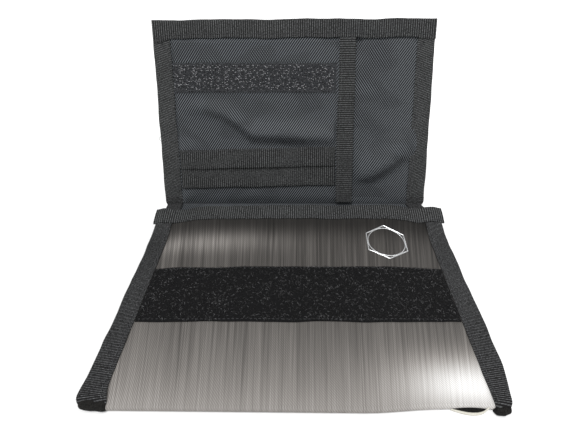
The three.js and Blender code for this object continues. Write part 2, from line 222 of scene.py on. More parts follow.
def lumps(x, y, seed, size, amount, count=5):
    """A smooth irregular surface over x and y, from a few plane waves."""
    draw = np.random.default_rng(seed)
    total = 0
    for _ in range(count):
        angle = draw.uniform(0, math.pi)
        wave = size * draw.uniform(0.6, 1.6)
        phase = draw.uniform(0, 2 * math.pi)
        total = total + np.sin(2 * math.pi * (x * math.cos(angle) + y * math.sin(angle)) / wave + phase)
    return amount * total / math.sqrt(count)


# ---------------------------------------------------------------- meshes

class Solids:
    """Closed solids gathered for one piece: points in mm, faces, and a flat (u, v) in mm at each point."""

    def __init__(self):
        self.points, self.faces, self.flat, self.count = [], [], [], 0

    def add(self, points, faces, flat):
        points = points.reshape(-1, 3)
        if signed_volume(points, faces) < 0:
            faces = [f[:, ::-1] for f in faces]
        self.points.append(points)
        self.faces += [f + self.count for f in faces]
        self.flat.append(np.broadcast_to(flat, flat.shape).reshape(-1, 2))
        self.count += len(points)
        return self

    def make(self, name, material, sharp=50):
        points = np.concatenate(self.points) * MM
        corners = np.concatenate([f.ravel() for f in self.faces]).astype(np.int32)
        sizes = np.concatenate([np.full(len(f), f.shape[1]) for f in self.faces])
        mesh = bpy.data.meshes.new(name)
        mesh.vertices.add(len(points))
        mesh.vertices.foreach_set("co", points.astype(np.float32).ravel())
        mesh.loops.add(len(corners))
        mesh.loops.foreach_set("vertex_index", corners)
        mesh.polygons.add(len(sizes))
        starts = np.concatenate([[0], np.cumsum(sizes)[:-1]]).astype(np.int32)
        mesh.polygons.foreach_set("loop_start", starts)
        mesh.update(calc_edges=True)
        mesh.polygons.foreach_set("use_smooth", np.ones(len(sizes), bool))
        layer = mesh.uv_layers.new(name="flat")
        layer.data.foreach_set("uv", np.concatenate(self.flat)[corners].astype(np.float32).ravel())
        mesh.set_sharp_from_angle(angle=math.radians(sharp))
        mesh.materials.append(material)
        piece = bpy.data.objects.new(name, mesh)
        bpy.context.scene.collection.objects.link(piece)
        return piece


def signed_volume(points, faces):
    total = 0.0
    for f in faces:
        for k in range(1, f.shape[1] - 1):
            a, b, c = points[f[:, 0]], points[f[:, k]], points[f[:, k + 1]]
            total += float(np.einsum("ij,ij->", a, np.cross(b, c)))
    return total


def shell(solids, outer, inner, flat):
    """A closed solid between two grids of points, with a rim round them."""
    rows, columns = outer.shape[:2]
    top = np.arange(rows * columns).reshape(rows, columns)
    low = top + rows * columns

    def cells(g):
        return np.stack([g[:-1, :-1], g[1:, :-1], g[1:, 1:], g[:-1, 1:]], -1).reshape(-1, 4)

    def rim(a, b):
        return np.stack([a[:-1], a[1:], b[1:], b[:-1]], -1)

    edges = [
        rim(top[::-1, 0], low[::-1, 0]), rim(top[:, -1], low[:, -1]),
        rim(top[0, :], low[0, :]), rim(top[-1, ::-1], low[-1, ::-1]),
    ]
    faces = [np.concatenate([cells(top), cells(low)[:, ::-1], *edges])]
    points = np.concatenate([outer.reshape(-1, 3), inner.reshape(-1, 3)])
    flat = flat.reshape(-1, 2)
    return solids.add(points, faces, np.concatenate([flat, flat]))


def tubes(solids, lines, across, radii, sides, flat):
    """Closed tubes along many lines at once. across is each line's sideways direction."""
    count, steps = lines.shape[:2]
    along = np.gradient(lines, axis=1)
    along /= np.linalg.norm(along, axis=2, keepdims=True)
    side = np.broadcast_to((across / np.linalg.norm(across, axis=1, keepdims=True))[:, None], lines.shape)
    up = np.cross(side, along)
    angle = 2 * math.pi * np.arange(sides) / sides
    ring = np.cos(angle)[:, None] * side[:, :, None] + np.sin(angle)[:, None] * up[:, :, None]
    points = lines[:, :, None] + np.broadcast_to(radii, (count, steps))[:, :, None, None] * ring
    index = np.arange(count * steps * sides).reshape(count, steps, sides)
    turned = np.roll(index, -1, axis=2)
    walls = np.stack([index[:, :-1], index[:, 1:], turned[:, 1:], turned[:, :-1]], -1).reshape(-1, 4)
    caps = np.concatenate([index[:, 0], index[:, -1, ::-1]])
    places = np.broadcast_to(flat[:, None, None], (count, steps, sides, 2))
    return solids.add(points, [walls, caps], places)


def loops_or_hooks(solids, base, normal, heading, shape, radius, sides, flat):
    """Bent wires standing on a surface. shape is a list of (along heading, along normal) for each step."""
    shape = np.asarray(shape)
    lines = base[:, None] + shape[..., 0:1] * heading[:, None] + shape[..., 1:2] * normal[:, None]
    return tubes(solids, lines, np.cross(heading, normal), radius, sides, flat)


# ---------------------------------------------------------------- folded tapes

class Tape:
    """A tape folded round an edge. At station s it reaches width(s) in from the fold, between low(s) and
    high(s), and place(s, a, b) puts a distance a in from the fold and a height b in space."""

    CORNER = 1.1
    CORNER_STEPS = 5

    def __init__(self, run, width, low, high, thick, place, seed, rib=0.13, pitch=RIB, slant=0.0):
        self.run, self.thick, self.place, self.seed, self.rib = run, thick, place, seed, rib
        self.pitch, self.slant = pitch, slant
        self.width, self.low, self.high = as_function(width), as_function(low), as_function(high)

    def section(self, s, inset):
        width, low, high = (f(s)[:, None] for f in (self.width, self.low, self.high))
        tall = np.maximum(high - low - POUCH_TAPE_TOP, 0)
        corner = np.minimum(self.CORNER + 0.3 * tall, (high - low) / 2 - 0.05)
        radius = np.maximum(corner - inset, 0.12)
        turn = np.linspace(0, math.pi / 2, self.CORNER_STEPS)
        leaf = np.array([0.0, 0.12, 0.3, 0.48, 0.62, 0.72, 0.78, 0.83, 0.88, 0.95, 1.0])
        reach = corner + leaf * (width - corner)
        groove = -0.16 * np.exp(-(((leaf - 0.82) / 0.035) ** 2)) if inset == 0 else 0 * leaf
        edge = -0.12 * smooth((leaf - 0.95) / 0.05) if inset == 0 else 0 * leaf
        bottom_a, bottom_b = reach[:, ::-1][:, ::2], (low + inset) + 0 * reach[:, ::2]
        nose_a = corner - radius * np.sin(turn)
        nose_low = low + corner - radius * np.cos(turn)
        nose_high = high - corner + radius * np.cos(turn)
        a = np.concatenate([bottom_a[:, :-1], nose_a, nose_a[:, ::-1], reach[:, 1:]], 1)
        b = np.concatenate(
            [bottom_b[:, :-1], nose_low, nose_high[:, ::-1], (high - inset) + (groove + edge)[1:]], 1
        )
        return a, b

    def top(self, s):
        return self.high(s)

    def build(self, solids):
        rows = spread(self.run[0], self.run[1], self.pitch / ROWS_PER_RIB)
        outer_a, outer_b = self.section(rows, 0.0)
        inner_a, inner_b = self.section(rows, self.thick)
        steps = np.linalg.norm(np.diff(np.stack([outer_a, outer_b], -1), axis=1), axis=2)
        around = np.concatenate([np.zeros((len(rows), 1)), np.cumsum(steps, 1)], 1)
        turns = (rows[:, None] + self.slant * around) / self.pitch
        ribs = self.rib * (np.cos(2 * math.pi * turns) - 1) / 2
        puff = wobble(rows, self.seed, 46, 0.1)[:, None] + wobble(rows, self.seed + 9, 13, 0.04)[:, None]
        away_a, away_b = outer_a - inner_a, outer_b - inner_b
        length = np.hypot(away_a, away_b)
        lift = ribs + np.maximum(puff, -0.08)
        station = np.broadcast_to(rows[:, None], outer_a.shape)
        outer = self.place(station, outer_a + away_a / length * lift, outer_b + away_b / length * lift)
        inner = self.place(station, inner_a, inner_b)
        return shell(solids, outer, inner, stack(around, station))

    def stitch(self, solids, share=0.82, lift=0.0, run=None):
        """A row of stitches along the tape, share of the way from the fold to the inner edge."""
        first, last = run or (self.run[0] + 2, self.run[1] - 2)
        stitch_row(solids, first, last, lambda s, b: self.place(
            s, share * self.width(s.ravel()).reshape(s.shape), self.top(s.ravel()).reshape(s.shape) + b + lift
        ))


def as_function(value):
    return value if callable(value) else lambda s: value + 0 * s


def stitch_row(solids, first, last, place, pitch=STITCH_PITCH, length=STITCH_LENGTH, radius=STITCH_RADIUS):
    """Stitches in a row: place(s, b) is the point at station s and height b over the cloth."""
    centre = np.arange(first + pitch / 2, last - pitch / 2 + 1e-6, pitch)
    share = np.array([-0.5, -0.3, 0.0, 0.3, 0.5])
    arch = np.array([-0.28, 0.0, 0.1, 0.0, -0.28])
    s = centre[:, None] + length * share
    lines = place(s, arch + 0 * s)
    heading = lines[:, -1] - lines[:, 0]
    normal = place(s[:, 2], 1.0 + 0 * s[:, 2]) - place(s[:, 2], 0 * s[:, 2])
    radii = radius * np.array([0.45, 0.95, 1.0, 0.95, 0.45])
    tubes(solids, lines, np.cross(heading, normal), radii, 6, stack(centre, 0 * centre))


# ---------------------------------------------------------------- the pouch's surface

def rise(x, y):
    """How far the pouch's front stands up above its flat edge level."""
    across = 1 - np.minimum(1, np.abs(x) / TAPE_INNER) ** 4
    along = np.clip((y - NEAR) / (MOUTH_LIP - NEAR), 0, 1.02) ** 3
    return MOUTH_RISE * across * along


def corner_lift(x, y):
    """The two mouth corners are bulky and stand off the back, the right one more."""
    left = 3.0 * smooth((-x - 60) / 30) + 4.4 * smooth((-x - 98) / 22)
    right = 4.4 * smooth((x - 56) / 34) + 4.2 * smooth((x - 98) / 22)
    return (left + right) * smooth((y - MOUTH_LIP + 46) / 46) ** 2


def lip_curl(x, y):
    """The mouth's edge curls up towards its tape, least on the left."""
    size = 0.9 + 0.7 * smooth((x + 100) / 120)
    return size * smooth((y - MOUTH_LIP + 25) / 26) ** 1.5 * (1 - (np.abs(x) / HALF_POUCH) ** 4 * 0.5)


def front_lift(x, y):
    """The lift that all the plies of the pouch's front share."""
    soft = smooth((TAPE_INNER - np.abs(x)) / 20) * smooth((y - NEAR) / 12)
    waves = lumps(x, y * 0.6, 11, 75, 0.22) * soft
    return rise(x, y) + corner_lift(x, y) + lip_curl(x, y) + waves


def outer_level(x):
    """The outer cloth lies on the table, and over the tape's lower leaf at the sides."""
    return BACK_EDGE * smooth((np.abs(x) - TAPE_INNER + 1.3) / 1.3)


def fold_bow(x):
    """How far the bottom fold stands in from its furthest line: least in the middle and on the left."""
    return 2.6 * smooth((x - 38) / 46)


def fold_lifted(x):
    """The bottom fold is lifted off the table at the pucker."""
    return 1.7 * hump((x - PUCKER_X) / (PUCKER_HALF + 4)) ** 0.7


def pouch_edge(side, y):
    """The outer edge of a side tape: uneven, rounded at the near corner and drawn in there on the right."""
    from_end = np.clip((y - NEAR) / CORNER_ROUND, 0, 1)
    corner = CORNER_ROUND * (1 - np.sqrt(1 - (1 - from_end) ** 2))
    swell = 0.9 * hump((y - NEAR - 8) / 14) * (1 if side < 0 else 0.5)
    uneven = wobble(y, 20 + side, 60, 0.35) * smooth((y - NEAR - 6) / 12)
    drawn_in = 5.0 * smooth((NEAR + 34 - y) / 32) if side > 0 else 0.0
    return HALF_POUCH - corner + swell + uneven - drawn_in


def pouch_place(x, y, z):
    """The plies' outer margins stay inside the side tapes."""
    share = np.maximum(np.abs(x) - TAPE_INNER, 0) / (PLY_EDGE - TAPE_INNER)
    reach = np.where(x < 0, pouch_edge(-1, y + 0 * x), pouch_edge(1, y + 0 * x)) - 1.6
    pulled = np.minimum(reach - PLY_EDGE, 0) * share
    return stack(x + np.sign(x) * pulled, y, z)


def printed_path():
    """Stations of the printed cloth: along the back, round the bottom fold and up the front."""
    back = [("back", y) for y in spread(FOLD_Y, CREASE_START, 5)[::-1]]
    fold = [("fold", t) for t in np.linspace(0, 1, 15)[1:-1]]
    front = [("front", y) for y in spread(FOLD_Y, FRONT_END, 2.6)]
    return back + fold + front


def printed_point(x, kind, value, inset):
    """One station of the printed cloth for all x, with its distance v from the bottom fold."""
    near = smooth((NEAR + 16 - value) / 16) if kind != "fold" else 1.0
    bow, lifted = fold_bow(x) * near, fold_lifted(x) * near
    level = outer_level(x)
    if kind == "back":
        return pouch_place(x, value + bow, level + inset + lifted), -(value - NEAR)
    if kind == "front":
        z = FRONT_TOP - inset + front_lift(x, np.full_like(x, value)) + 0.3 * lifted
        return pouch_place(x, value + bow, z), value - NEAR
    angle = -math.pi / 2 - math.pi * value
    top, bottom = FRONT_TOP + 0.3 * lifted, level + lifted
    radius = (top - bottom) / 2 - inset
    y = FOLD_Y + bow + (radius + 0.3) * math.cos(angle)
    return pouch_place(x, y, (top + bottom) / 2 + radius * math.sin(angle)), 6 * (value - 0.5)


def printed_pouch():
    at_tape = spread(TAPE_INNER - 2.5, TAPE_INNER + 1, 0.5)
    at_pucker = spread(PUCKER_X - PUCKER_HALF, PUCKER_X + PUCKER_HALF, 1)
    x = stations(spread(-PLY_EDGE, PLY_EDGE, 3), at_tape, -at_tape, at_pucker)
    outer, inner, flat = [], [], []
    for kind, value in printed_path():
        points, v = printed_point(x, kind, value, 0.0)
        outer.append(points)
        inner.append(printed_point(x, kind, value, CLOTH)[0])
        flat.append(stack(x, v))
    solids = shell(Solids(), np.array(outer), np.array(inner), np.array(flat))
    piece = solids.make("printed_pouch", print_cloth)
    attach(piece, "pouch")
    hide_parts("front_panel", "back_cover")
    press_pouch(piece)


def ply(name, material, xs, ys, level, thickness, place):
    """A thin sheet whose underside is at level(x, y)."""
    x, y = np.meshgrid(xs, ys, indexing="ij")
    low = level(x, y)
    solids = shell(Solids(), place(x, y, low + thickness), place(x, y, low), stack(x, y))
    return solids.make(name, material)


def press_pouch(piece):
    """Gives the pouch's piece a mesh of its own."""
    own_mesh(piece)


def finish_piece(piece, body, slot, *nodes):
    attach(piece, body)
    if nodes:
        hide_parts(*nodes)
    if body == "pouch":
        press_pouch(piece)
    return piece


def pouch_linings():
    xs = spread(-PLY_EDGE, PLY_EDGE, 4)
    ys = spread(NEAR + 4, FRONT_END, 4)
    front = ply("front_lining_cloth", lining_cloth, xs, ys,
                lambda x, y: FRONT_LINING + front_lift(x, y), LINING, pouch_place)
    finish_piece(front, "pouch", "lining_cloth", "front_lining")
    ys = spread(NEAR + 4, CREASE_START, 6)
    back = ply("back_lining_cloth", lining_cloth, xs, ys,
               lambda x, y: BACK_LINING + 0 * x, LINING, pouch_place)
    finish_piece(back, "pouch", "lining_cloth", "back_lining")


# ---------------------------------------------------------------- the pouch's tapes

def pouch_side_tape(side):
    end = NEAR + 1.6
    tip = 5.5

    def end_share(y):
        gone = 1 - np.clip((y - end) / tip, 0, 1)
        return np.sqrt(np.maximum(1 - gone ** 2, 0.02))

    def height(y):
        lifted = corner_lift(side * (TAPE_INNER + 7), y)
        bulk = 0.8 * hump((y - NEAR - 8) / 14)
        return POUCH_TAPE_TOP / 2 + POUCH_TAPE_TOP / 2 * end_share(y) + lifted + bulk

    def floor(y):
        return POUCH_TAPE_TOP / 2 * (1 - end_share(y))

    def place(y, a, b):
        edge = pouch_edge(side, y)
        return stack(side * (edge - a), y, b)

    def width(y):
        spread_out = 3.2 * smooth((NEAR + 16 - y) / 15) if side < 0 else 0.0
        return pouch_edge(side, y) - TAPE_INNER + spread_out - 0.1 * wobble(y, 33 + side, 24, 1)

    run = (end + 0.02, SPINE_FOLD - 1.7)
    return Tape(run, width, floor, height, POUCH_TAPE, place, 40 + side, 0.12, SIDE_RIB, SIDE_SLANT)


def fold_lip():
    """The turned-in edge of the printed cloth shows its pale unprinted face at the pucker: a rolled lip."""
    t = np.linspace(0, 1, 25)
    x = PUCKER_X - PUCKER_HALF + 1 + t * (2 * PUCKER_HALF - 2)
    out = np.sin(math.pi * t ** 1.25) ** 0.8
    curl = smooth((t - 0.82) / 0.18)
    y = NEAR + 1.2 + fold_bow(x) * 0.6 - 2.6 * out
    z = 0.8 + 2.4 * curl
    line = stack(x, y, z)[None]
    radius = 0.3 + 0.5 * np.sqrt(np.clip(np.sin(math.pi * np.clip(t, 0.02, 0.98)), 0, 1))
    roll = tubes(Solids(), line, np.array([[0, 0, 1.0]]), radius, 10, stack(0, 0)[None])
    finish_piece(roll.make("fold_lip", cloth_back), "pouch", "print_cloth")
    # A dark sheet in the hollow behind the lip, under the fold, stands for the shade inside it: painted
    # shade.
    inner = np.linspace(0, 1, 6)
    grid_t, depth = np.meshgrid(t[1:-1], inner, indexing="ij")
    gx = np.interp(grid_t, t, x)
    edge = np.interp(grid_t, t, y) + 0.2
    gy = edge + depth * (NEAR + 5.5 - edge)
    low = 0.25 + 0 * gx
    solids = shell(Solids(), stack(gx, gy, low + 0.5), stack(gx, gy, low), stack(gx, gy))
    finish_piece(solids.make("fold_gap_shade_sheet", tail_and_gap_shade_cloth), "pouch", "lining_cloth")


def near_toe(side):
    """The tail of a side tape, tucked under at the near corner: a plain dark roll before the ribbed end."""
    along = np.linspace(0, 1, 25)
    first, last = (TAPE_INNER + 14.8, TAPE_INNER - 4.6) if side < 0 else (TAPE_INNER + 9.8, TAPE_INNER - 0.6)
    x = first + (last - first) * along
    swell = np.maximum(1 - np.abs(2 * along - 1) ** 5, 0.02) ** 0.5
    uneven = 1 + wobble(along, 48 + side, 0.6, 0.08)
    half_height = (2.5 if side < 0 else 2.1) * swell * uneven
    depth = 3.6 * swell * uneven
    y = NEAR + 2.2 + 1.8 * (1 - along) ** 2
    lines = stack(side * x, y, half_height + 0.02)
    sides = 20
    angle = 2 * math.pi * np.arange(sides) / sides
    ring = stack(0 * angle, np.cos(angle), np.sin(angle))
    points = lines[:, None] + ring * stack(0 * x, depth, half_height)[:, None]
    index = np.arange(len(x) * sides).reshape(len(x), sides)
    turned = np.roll(index, -1, axis=1)
    walls = np.stack([index[:-1], index[1:], turned[1:], turned[:-1]], -1).reshape(-1, 4)
    caps = np.stack([index[0], index[-1, ::-1]])
    flat = stack(np.broadcast_to(x[:, None], (len(x), sides)), np.broadcast_to(angle, (len(x), sides)) * 3)
    return points, [walls, caps], flat


def add_tape(tape, name, material, body, slot, node):
    """A folded tape's piece, in place of its CAD node."""
    finish_piece(tape.build(Solids()).make(name, material), body, slot, node)


def pouch_tapes():
    for name, side in (("left", -1), ("right", 1)):
        tape, node = pouch_side_tape(side), f"pouch_binding_{name}"
        add_tape(tape, f"pouch_side_tape_{name}", side_tape_cloth, "pouch", "side_binding_tape", node)
        tail = Solids()
        tail.add(*near_toe(side))
        finish_piece(tail.make(f"tape_tail_{name}", tail_and_gap_shade_cloth), "pouch", "side_binding_tape")
        rows = Solids()
        tape.stitch(rows, run=(NEAR + 5, SPINE_FOLD - 4))
        finish_piece(rows.make(f"pouch_stitches_{name}", thread), "pouch", "side_binding_tape")


def mouth_level(x, y):
    """The height of the mouth tape's lower face over the pouch's front, and over the side tapes."""
    over_side = (POUCH_TAPE_TOP - FRONT_TOP) * smooth((np.abs(x) - TAPE_INNER + 3) / 3)
    droop = -1.6 * smooth((np.abs(x) - HALF_POUCH + 6) / 8)
    return FRONT_TOP + PLY_GAP + front_lift(x, y) + over_side + droop


def mouth_tape():
    lip = MOUTH_LIP + 0.2

    def place(x, a, b):
        uneven = wobble(x, 61, 70, 0.55) + wobble(x, 62, 17, 0.14)
        tilt = 0.5 * smooth((np.abs(x) - 100) / 28)
        y = lip + uneven - a - tilt * a * 0.12
        level = mouth_level(x, np.minimum(y, lip + 1))
        return stack(x, y, level + b)

    def low(x):
        inside = FRONT_TOP - FRONT_LINING + 2 * PLY_GAP + POUCH_TAPE + 0.3
        return -(inside + (0.5 - inside) * smooth((np.abs(x) - 100) / 6))

    def width(x):
        return MOUTH_TAPE_WIDTH + wobble(x, 63, 38, 0.3)

    return Tape((-MOUTH_END, MOUTH_END), width, low, POUCH_TAPE, POUCH_TAPE, place, 64, rib=0.16)


def mouth_binding():
    tape = mouth_tape()
    add_tape(tape, "mouth_tape", binding_cloth, "pouch", "binding_tape", "mouth_binding")
    rows = Solids()
    tape.stitch(rows, share=0.86)
    finish_piece(rows.make("mouth_stitches", thread), "pouch", "binding_tape")


# ---------------------------------------------------------------- loop strip and emblem

def strip_height(x, y):
    return FRONT_TOP + PLY_GAP + front_lift(x, y)


def loop_strip():
    low, high = loop_box

    def askew(x):
        return 1.2 * (x - low[0]) / (high[0] - low[0]) - 0.6

    xs = spread(low[0], high[0], 1.6)
    ys = spread(low[1], high[1], 1.2)
    x, y = np.meshgrid(xs, ys, indexing="ij")
    edge = smooth((y - low[1]) / 1.6) * smooth((high[1] - y) / 1.6)
    side_edge = smooth((x - low[0]) / 2) * smooth((high[0] - x) / 2)
    draw = np.random.default_rng(71)
    rough = lumps(x, y, 72, 9, 0.12) + draw.uniform(-0.1, 0.1, x.shape)
    top = strip_height(x, y) + 0.35 + (0.75 + rough) * edge ** 0.6 * (0.4 + 0.6 * side_edge)
    wavy = wobble(x, 73, 80, 0.5) * np.sign(y - (low[1] + high[1]) / 2) * (1 - edge)
    y_drawn = y + wavy + askew(x)
    outer, inner = stack(x, y_drawn, top), stack(x, y_drawn, strip_height(x, y_drawn))
    base = shell(Solids(), outer, inner, stack(x, y)).make("loop_strip_base", loop_base)
    finish_piece(base, "pouch", "loop_tape", "loop_strip")

    count = 5200
    px = draw.uniform(low[0] + 0.8, high[0] - 0.8, count)
    py = draw.uniform(low[1] + 0.5, high[1] - 0.5, count)
    py_drawn = py + askew(px)
    ground = strip_height(px, py_drawn) + 0.85
    turn = draw.uniform(0, 2 * math.pi, count)
    lean = draw.uniform(-0.5, 0.5, (count, 2))
    heading = stack(np.cos(turn), np.sin(turn), 0 * turn)
    normal = stack(lean[:, 0], lean[:, 1], 1 + 0 * turn)
    normal /= np.linalg.norm(normal, axis=1, keepdims=True)
    span = draw.uniform(0.5, 1.15, count)
    tall = draw.uniform(0.55, 1.15, count)
    bend = np.linspace(-0.15, math.pi + 0.15, 6)
    shape = stack(span[:, None] * np.cos(bend), tall[:, None] * np.sin(bend))
    solids = loops_or_hooks(Solids(), stack(px, py_drawn, ground), normal, heading, shape, 0.11, 3,
                            stack(draw.uniform(0, 100, count), draw.uniform(0, 100, count)))
    finish_piece(solids.make("loop_strip_pile", loop_pile), "pouch", "loop_tape")

    rows = Solids()
    for y_row in (low[1] + 1.6, high[1] - 1.6):
        stitch_row(rows, low[0] + 1, high[0] - 1, lambda s, b: stack(
            s, y_row + askew(s), strip_height(s, y_row + 0 * s) + 0.95 + b))
    finish_piece(rows.make("loop_strip_stitches", thread), "pouch", "loop_tape")


def badge_line(solids, corners, radius, turn, steps, width, height, centre):
    """A closed line of half-round section, with so many corners, lying on the pouch's front."""
    t = np.arange(steps) / steps * corners
    k, share = np.floor(t), t - np.floor(t)
    a, b = turn + 2 * math.pi * k / corners, turn + 2 * math.pi * (k + 1) / corners
    ring = stack(np.cos(a) * (1 - share) + np.cos(b) * share, np.sin(a) * (1 - share) + np.sin(b) * share)
    outward = ring / np.linalg.norm(ring, axis=1, keepdims=True)
    half = [(0.12, 1.0), (0.36, 0.82), (0.5, 0.45), (0.5, 0.0)]
    section = np.array([(-a, b) for a, b in reversed(half)] + half)
    flat = radius * ring[:, None] + width * section[:, 0][:, None] * outward[:, None]
    x, y = centre[0] + flat[..., 0], centre[1] + flat[..., 1]
    z = FRONT_TOP + 0.02 + front_lift(x, y) + height * section[:, 1]
    index = np.arange(x.size).reshape(x.shape)
    ahead, beside = np.roll(index, -1, axis=0), np.roll(index, -1, axis=1)
    both = np.roll(ahead, -1, axis=1)
    faces = np.stack([index, ahead, both, beside], -1).reshape(-1, 4)
    solids.add(stack(x, y, z), [faces], stack(x, y))


def emblem():
    low, high = box_mm("emblem")
    centre = (low + high) / 2
    hex_radius = (high[1] - low[1]) / 2 - 0.65
    solids = Solids()
    badge_line(solids, 6, hex_radius, math.pi / 2, 6 * 24, 1.15, 0.55, centre)
    inner = (high[0] - low[0]) / 2 - 1.15
    badge_line(solids, 96, inner, 0, 192, 0.8, 0.5, centre)
    piece = solids.make("emblem_badge", silver)
    finish_piece(piece, "pouch", "silver_badge", "emblem")


# ---------------------------------------------------------------- spine and creases

def spine_half(side, y):
    """The spine narrows from the pouch's edge to the flap's."""
    share = np.clip((y - SPINE_FOLD) / (FLAP_FOLD - SPINE_FOLD), 0, 1)
    return side * HALF_POUCH + share * (FLAP_SHIFT + side * FLAP_HALF - side * HALF_POUCH)


def crease_point(x, s, w):
    """A point that follows the spine to its end, goes round the flap's fold and up the flap. s is measured
    along the fold's middle: y up to the fold, and then a turn of TURN_LENGTH before the flap's h."""
    turned = np.clip((s - FLAP_FOLD) / TURN_LENGTH, 0, 1) * FLAP_TURN
    beyond = np.maximum(s - FLAP_FOLD - TURN_LENGTH, 0)
    before = np.minimum(s, FLAP_FOLD)
    out = w - FOLD_LEVEL
    y = before - out * np.sin(turned) + beyond * math.cos(FLAP_TURN)
    z = FOLD_LEVEL + out * np.cos(turned) + beyond * math.sin(FLAP_TURN)
    return stack(x, y, z)


def past_fold(s):
    """0 on the spine, 1 on the flap."""
    return smooth((s - FLAP_FOLD + 3) / (TURN_LENGTH + 6))


def crease_x(share, s):
    """Across the crease, share from -1 at the left edge to 1 at the right edge of the plies."""
    inset = HALF_POUCH - PLY_EDGE
    left, right = spine_half(-1, s) + inset, spine_half(1, s) - inset
    return left + (share + 1) / 2 * (right - left)


def crease_ply(name, material, run, level, thickness):
    shares = np.unique(np.concatenate([np.linspace(-1, 1, 41), [-0.9, -0.885, -0.87, 0.87, 0.885, 0.9]]))
    rows = spread(run[0], run[1], 0.6)
    share, s = np.meshgrid(shares, rows, indexing="ij")
    x = crease_x(share, s)
    low = level(share, s)
    solids = shell(Solids(), crease_point(x, s, low + thickness), crease_point(x, s, low), stack(x, s - NEAR))
    return solids.make(name, material)


def edge_share(share):
    return smooth((np.abs(share) - 0.875) / 0.02)


def cover_level(share, s):
    spine = BACK_EDGE * edge_share(share)
    flap = (FLAP_TAPE + PLY_GAP) * edge_share(share)
    return spine + (flap - spine) * past_fold(s)


def lining_level(share, s):
    low_side = smooth((s - CREASE_START) / 5)
    spine = BACK_LINING + (CLOTH + PLY_GAP - BACK_LINING) * low_side * (1 - edge_share(share))
    flap = FLAP_LINING_MIDDLE + (FLAP_LINING_EDGE - FLAP_LINING_MIDDLE) * edge_share(share)
    return spine + (flap - spine) * past_fold(s)


def crease_plies():
    runs = {"lower": (CREASE_START, CREASE_MIDDLE), "upper": (CREASE_MIDDLE, CREASE_END)}
    kinds = (("cover", print_cloth, cover_level, CLOTH, "print_cloth"),
             ("lining", lining_cloth, lining_level, LINING, "lining_cloth"))
    for part, run in runs.items():
        for kind, material, level, thick, slot in kinds:
            piece = crease_ply(f"{kind}_crease_{part}", material, run, level, thick)
            if part == "lower":
                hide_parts(f"spine_{kind}")
                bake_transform(piece)
            else:
                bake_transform(piece)


def flap_flare(side, h):
    """How far a side tape stands out past the flap's width: most at the bottom."""
    bottom, top = FLAP_FLARE[side]
    return bottom + (top - bottom) * np.clip(h / FLAP_TOP, 0, 1)


def crease_tape(side, part):
    """The side tape past the pouch: tucked into the pouch's tape, along the spine and up to the flap."""
    run = (CREASE_START, CREASE_MIDDLE) if part == "lower" else (CREASE_MIDDLE, CREASE_END)
    flap_height = FLAP_TAPE_BASE[side]

    def tucked(s):
        return smooth((SPINE_FOLD + 2.5 - s) / 4)

    def high(s):
        return SPINE_TAPE_TOP + (flap_height - SPINE_TAPE_TOP) * past_fold(s) - 0.1 * tucked(s)

    def low(s):
        return 0.12 * (1 - past_fold(s)) + (POUCH_TAPE + 0.15) * tucked(s)

    def place(s, a, b):
        flare = flap_flare(side, 0.0) * past_fold(s)
        edge = spine_half(side, s) + side * (flare - (POUCH_TAPE + 0.5) * tucked(s))
        return crease_point(edge - side * a, s, b)

    def width(s):
        return FLAP_TAPE_WIDTH + (flap_flare(side, 0.0) - INNER_SHIFT[side]) * past_fold(s)

    return Tape(run, width, low, high, FLAP_TAPE, place, 90 + side, 0.1, SIDE_RIB, SIDE_SLANT)


def crease_tapes():
    for name, side in (("left", -1), ("right", 1)):
        for part in ("lower", "upper"):
            solids = crease_tape(side, part).build(Solids())
            piece = solids.make(f"crease_tape_{part}_{name}", side_tape_cloth)
            if part == "lower":
                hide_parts(f"spine_binding_{name}")
                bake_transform(piece)
            else:
                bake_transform(piece)


# ---------------------------------------------------------------- the flap's plies

def open_share(u, h):
    """0 under the edge tapes, 1 between them, with a soft ramp beside each tape."""
    ramp = 3.2
    side = (FLAP_TAPE_INNER - 0.2 - np.abs(u)) / ramp
    top = (FLAP_TOP - FLAP_TAPE_WIDTH - 0.2 - h) / ramp
    return smooth(np.minimum(side, top))


def fold_over(h, line, half_width, fall):
    """A hanging fold: it springs out just above the height line, and falls back further up."""
    over = h - line
    behind = np.maximum(over - half_width, 0) / fall
    return smooth((over + half_width) / (2 * half_width)) * np.exp(-(behind ** 2))


# The slanting crease: it falls ever steeper from its left end to its foot, and then runs nearly level.
FALL_LEFT = -95
FALL_RIGHT = -39
FALL_TOP = 85
FALL_FOOT = 61
FALL_SLOPE = 0.048


def pocket_wrinkle(u, h):
    """The card pocket's cloth hangs forward over its strips and falls back along a slanting crease."""
    fallen = np.clip((u - FALL_LEFT) / (FALL_RIGHT - FALL_LEFT), 0, 1) ** 2.5
    line = FALL_TOP + (FALL_FOOT - FALL_TOP) * fallen - FALL_SLOPE * np.maximum(u - FALL_RIGHT, 0)
    fold = fold_over(h, line, 3.3 + 0.9 * smooth((u + 60) / 30), 9)
    fade = smooth((hooks[0][1] - 2 - h) / 10) * hump((u + 22) / 84) ** 0.5
    calm = lumps(u, h, 101, 48, 0.16) * open_share(u, h) * smooth((hooks[0][1] - 3 - h) / 8)
    return 6.0 * fold * fade + calm


def panel_wrinkle(u, h):
    """The plain panel right of the divider has a soft fold that slants down to the left."""
    line = [(56, 18), (70, 21), (80, 26), (90, 33), (100, 41), (110, 48)]
    fold = fold_over(h, np.interp(u, *zip(*line)), 6.0, 16)
    fade = smooth((h - 16) / 9) * hump((h - 44) / 50) ** 0.5 * hump((u - 84) / 32) ** 0.4
    return 8.0 * fold * fade + lumps(u, h, 102, 55, 0.14) * open_share(u, h)


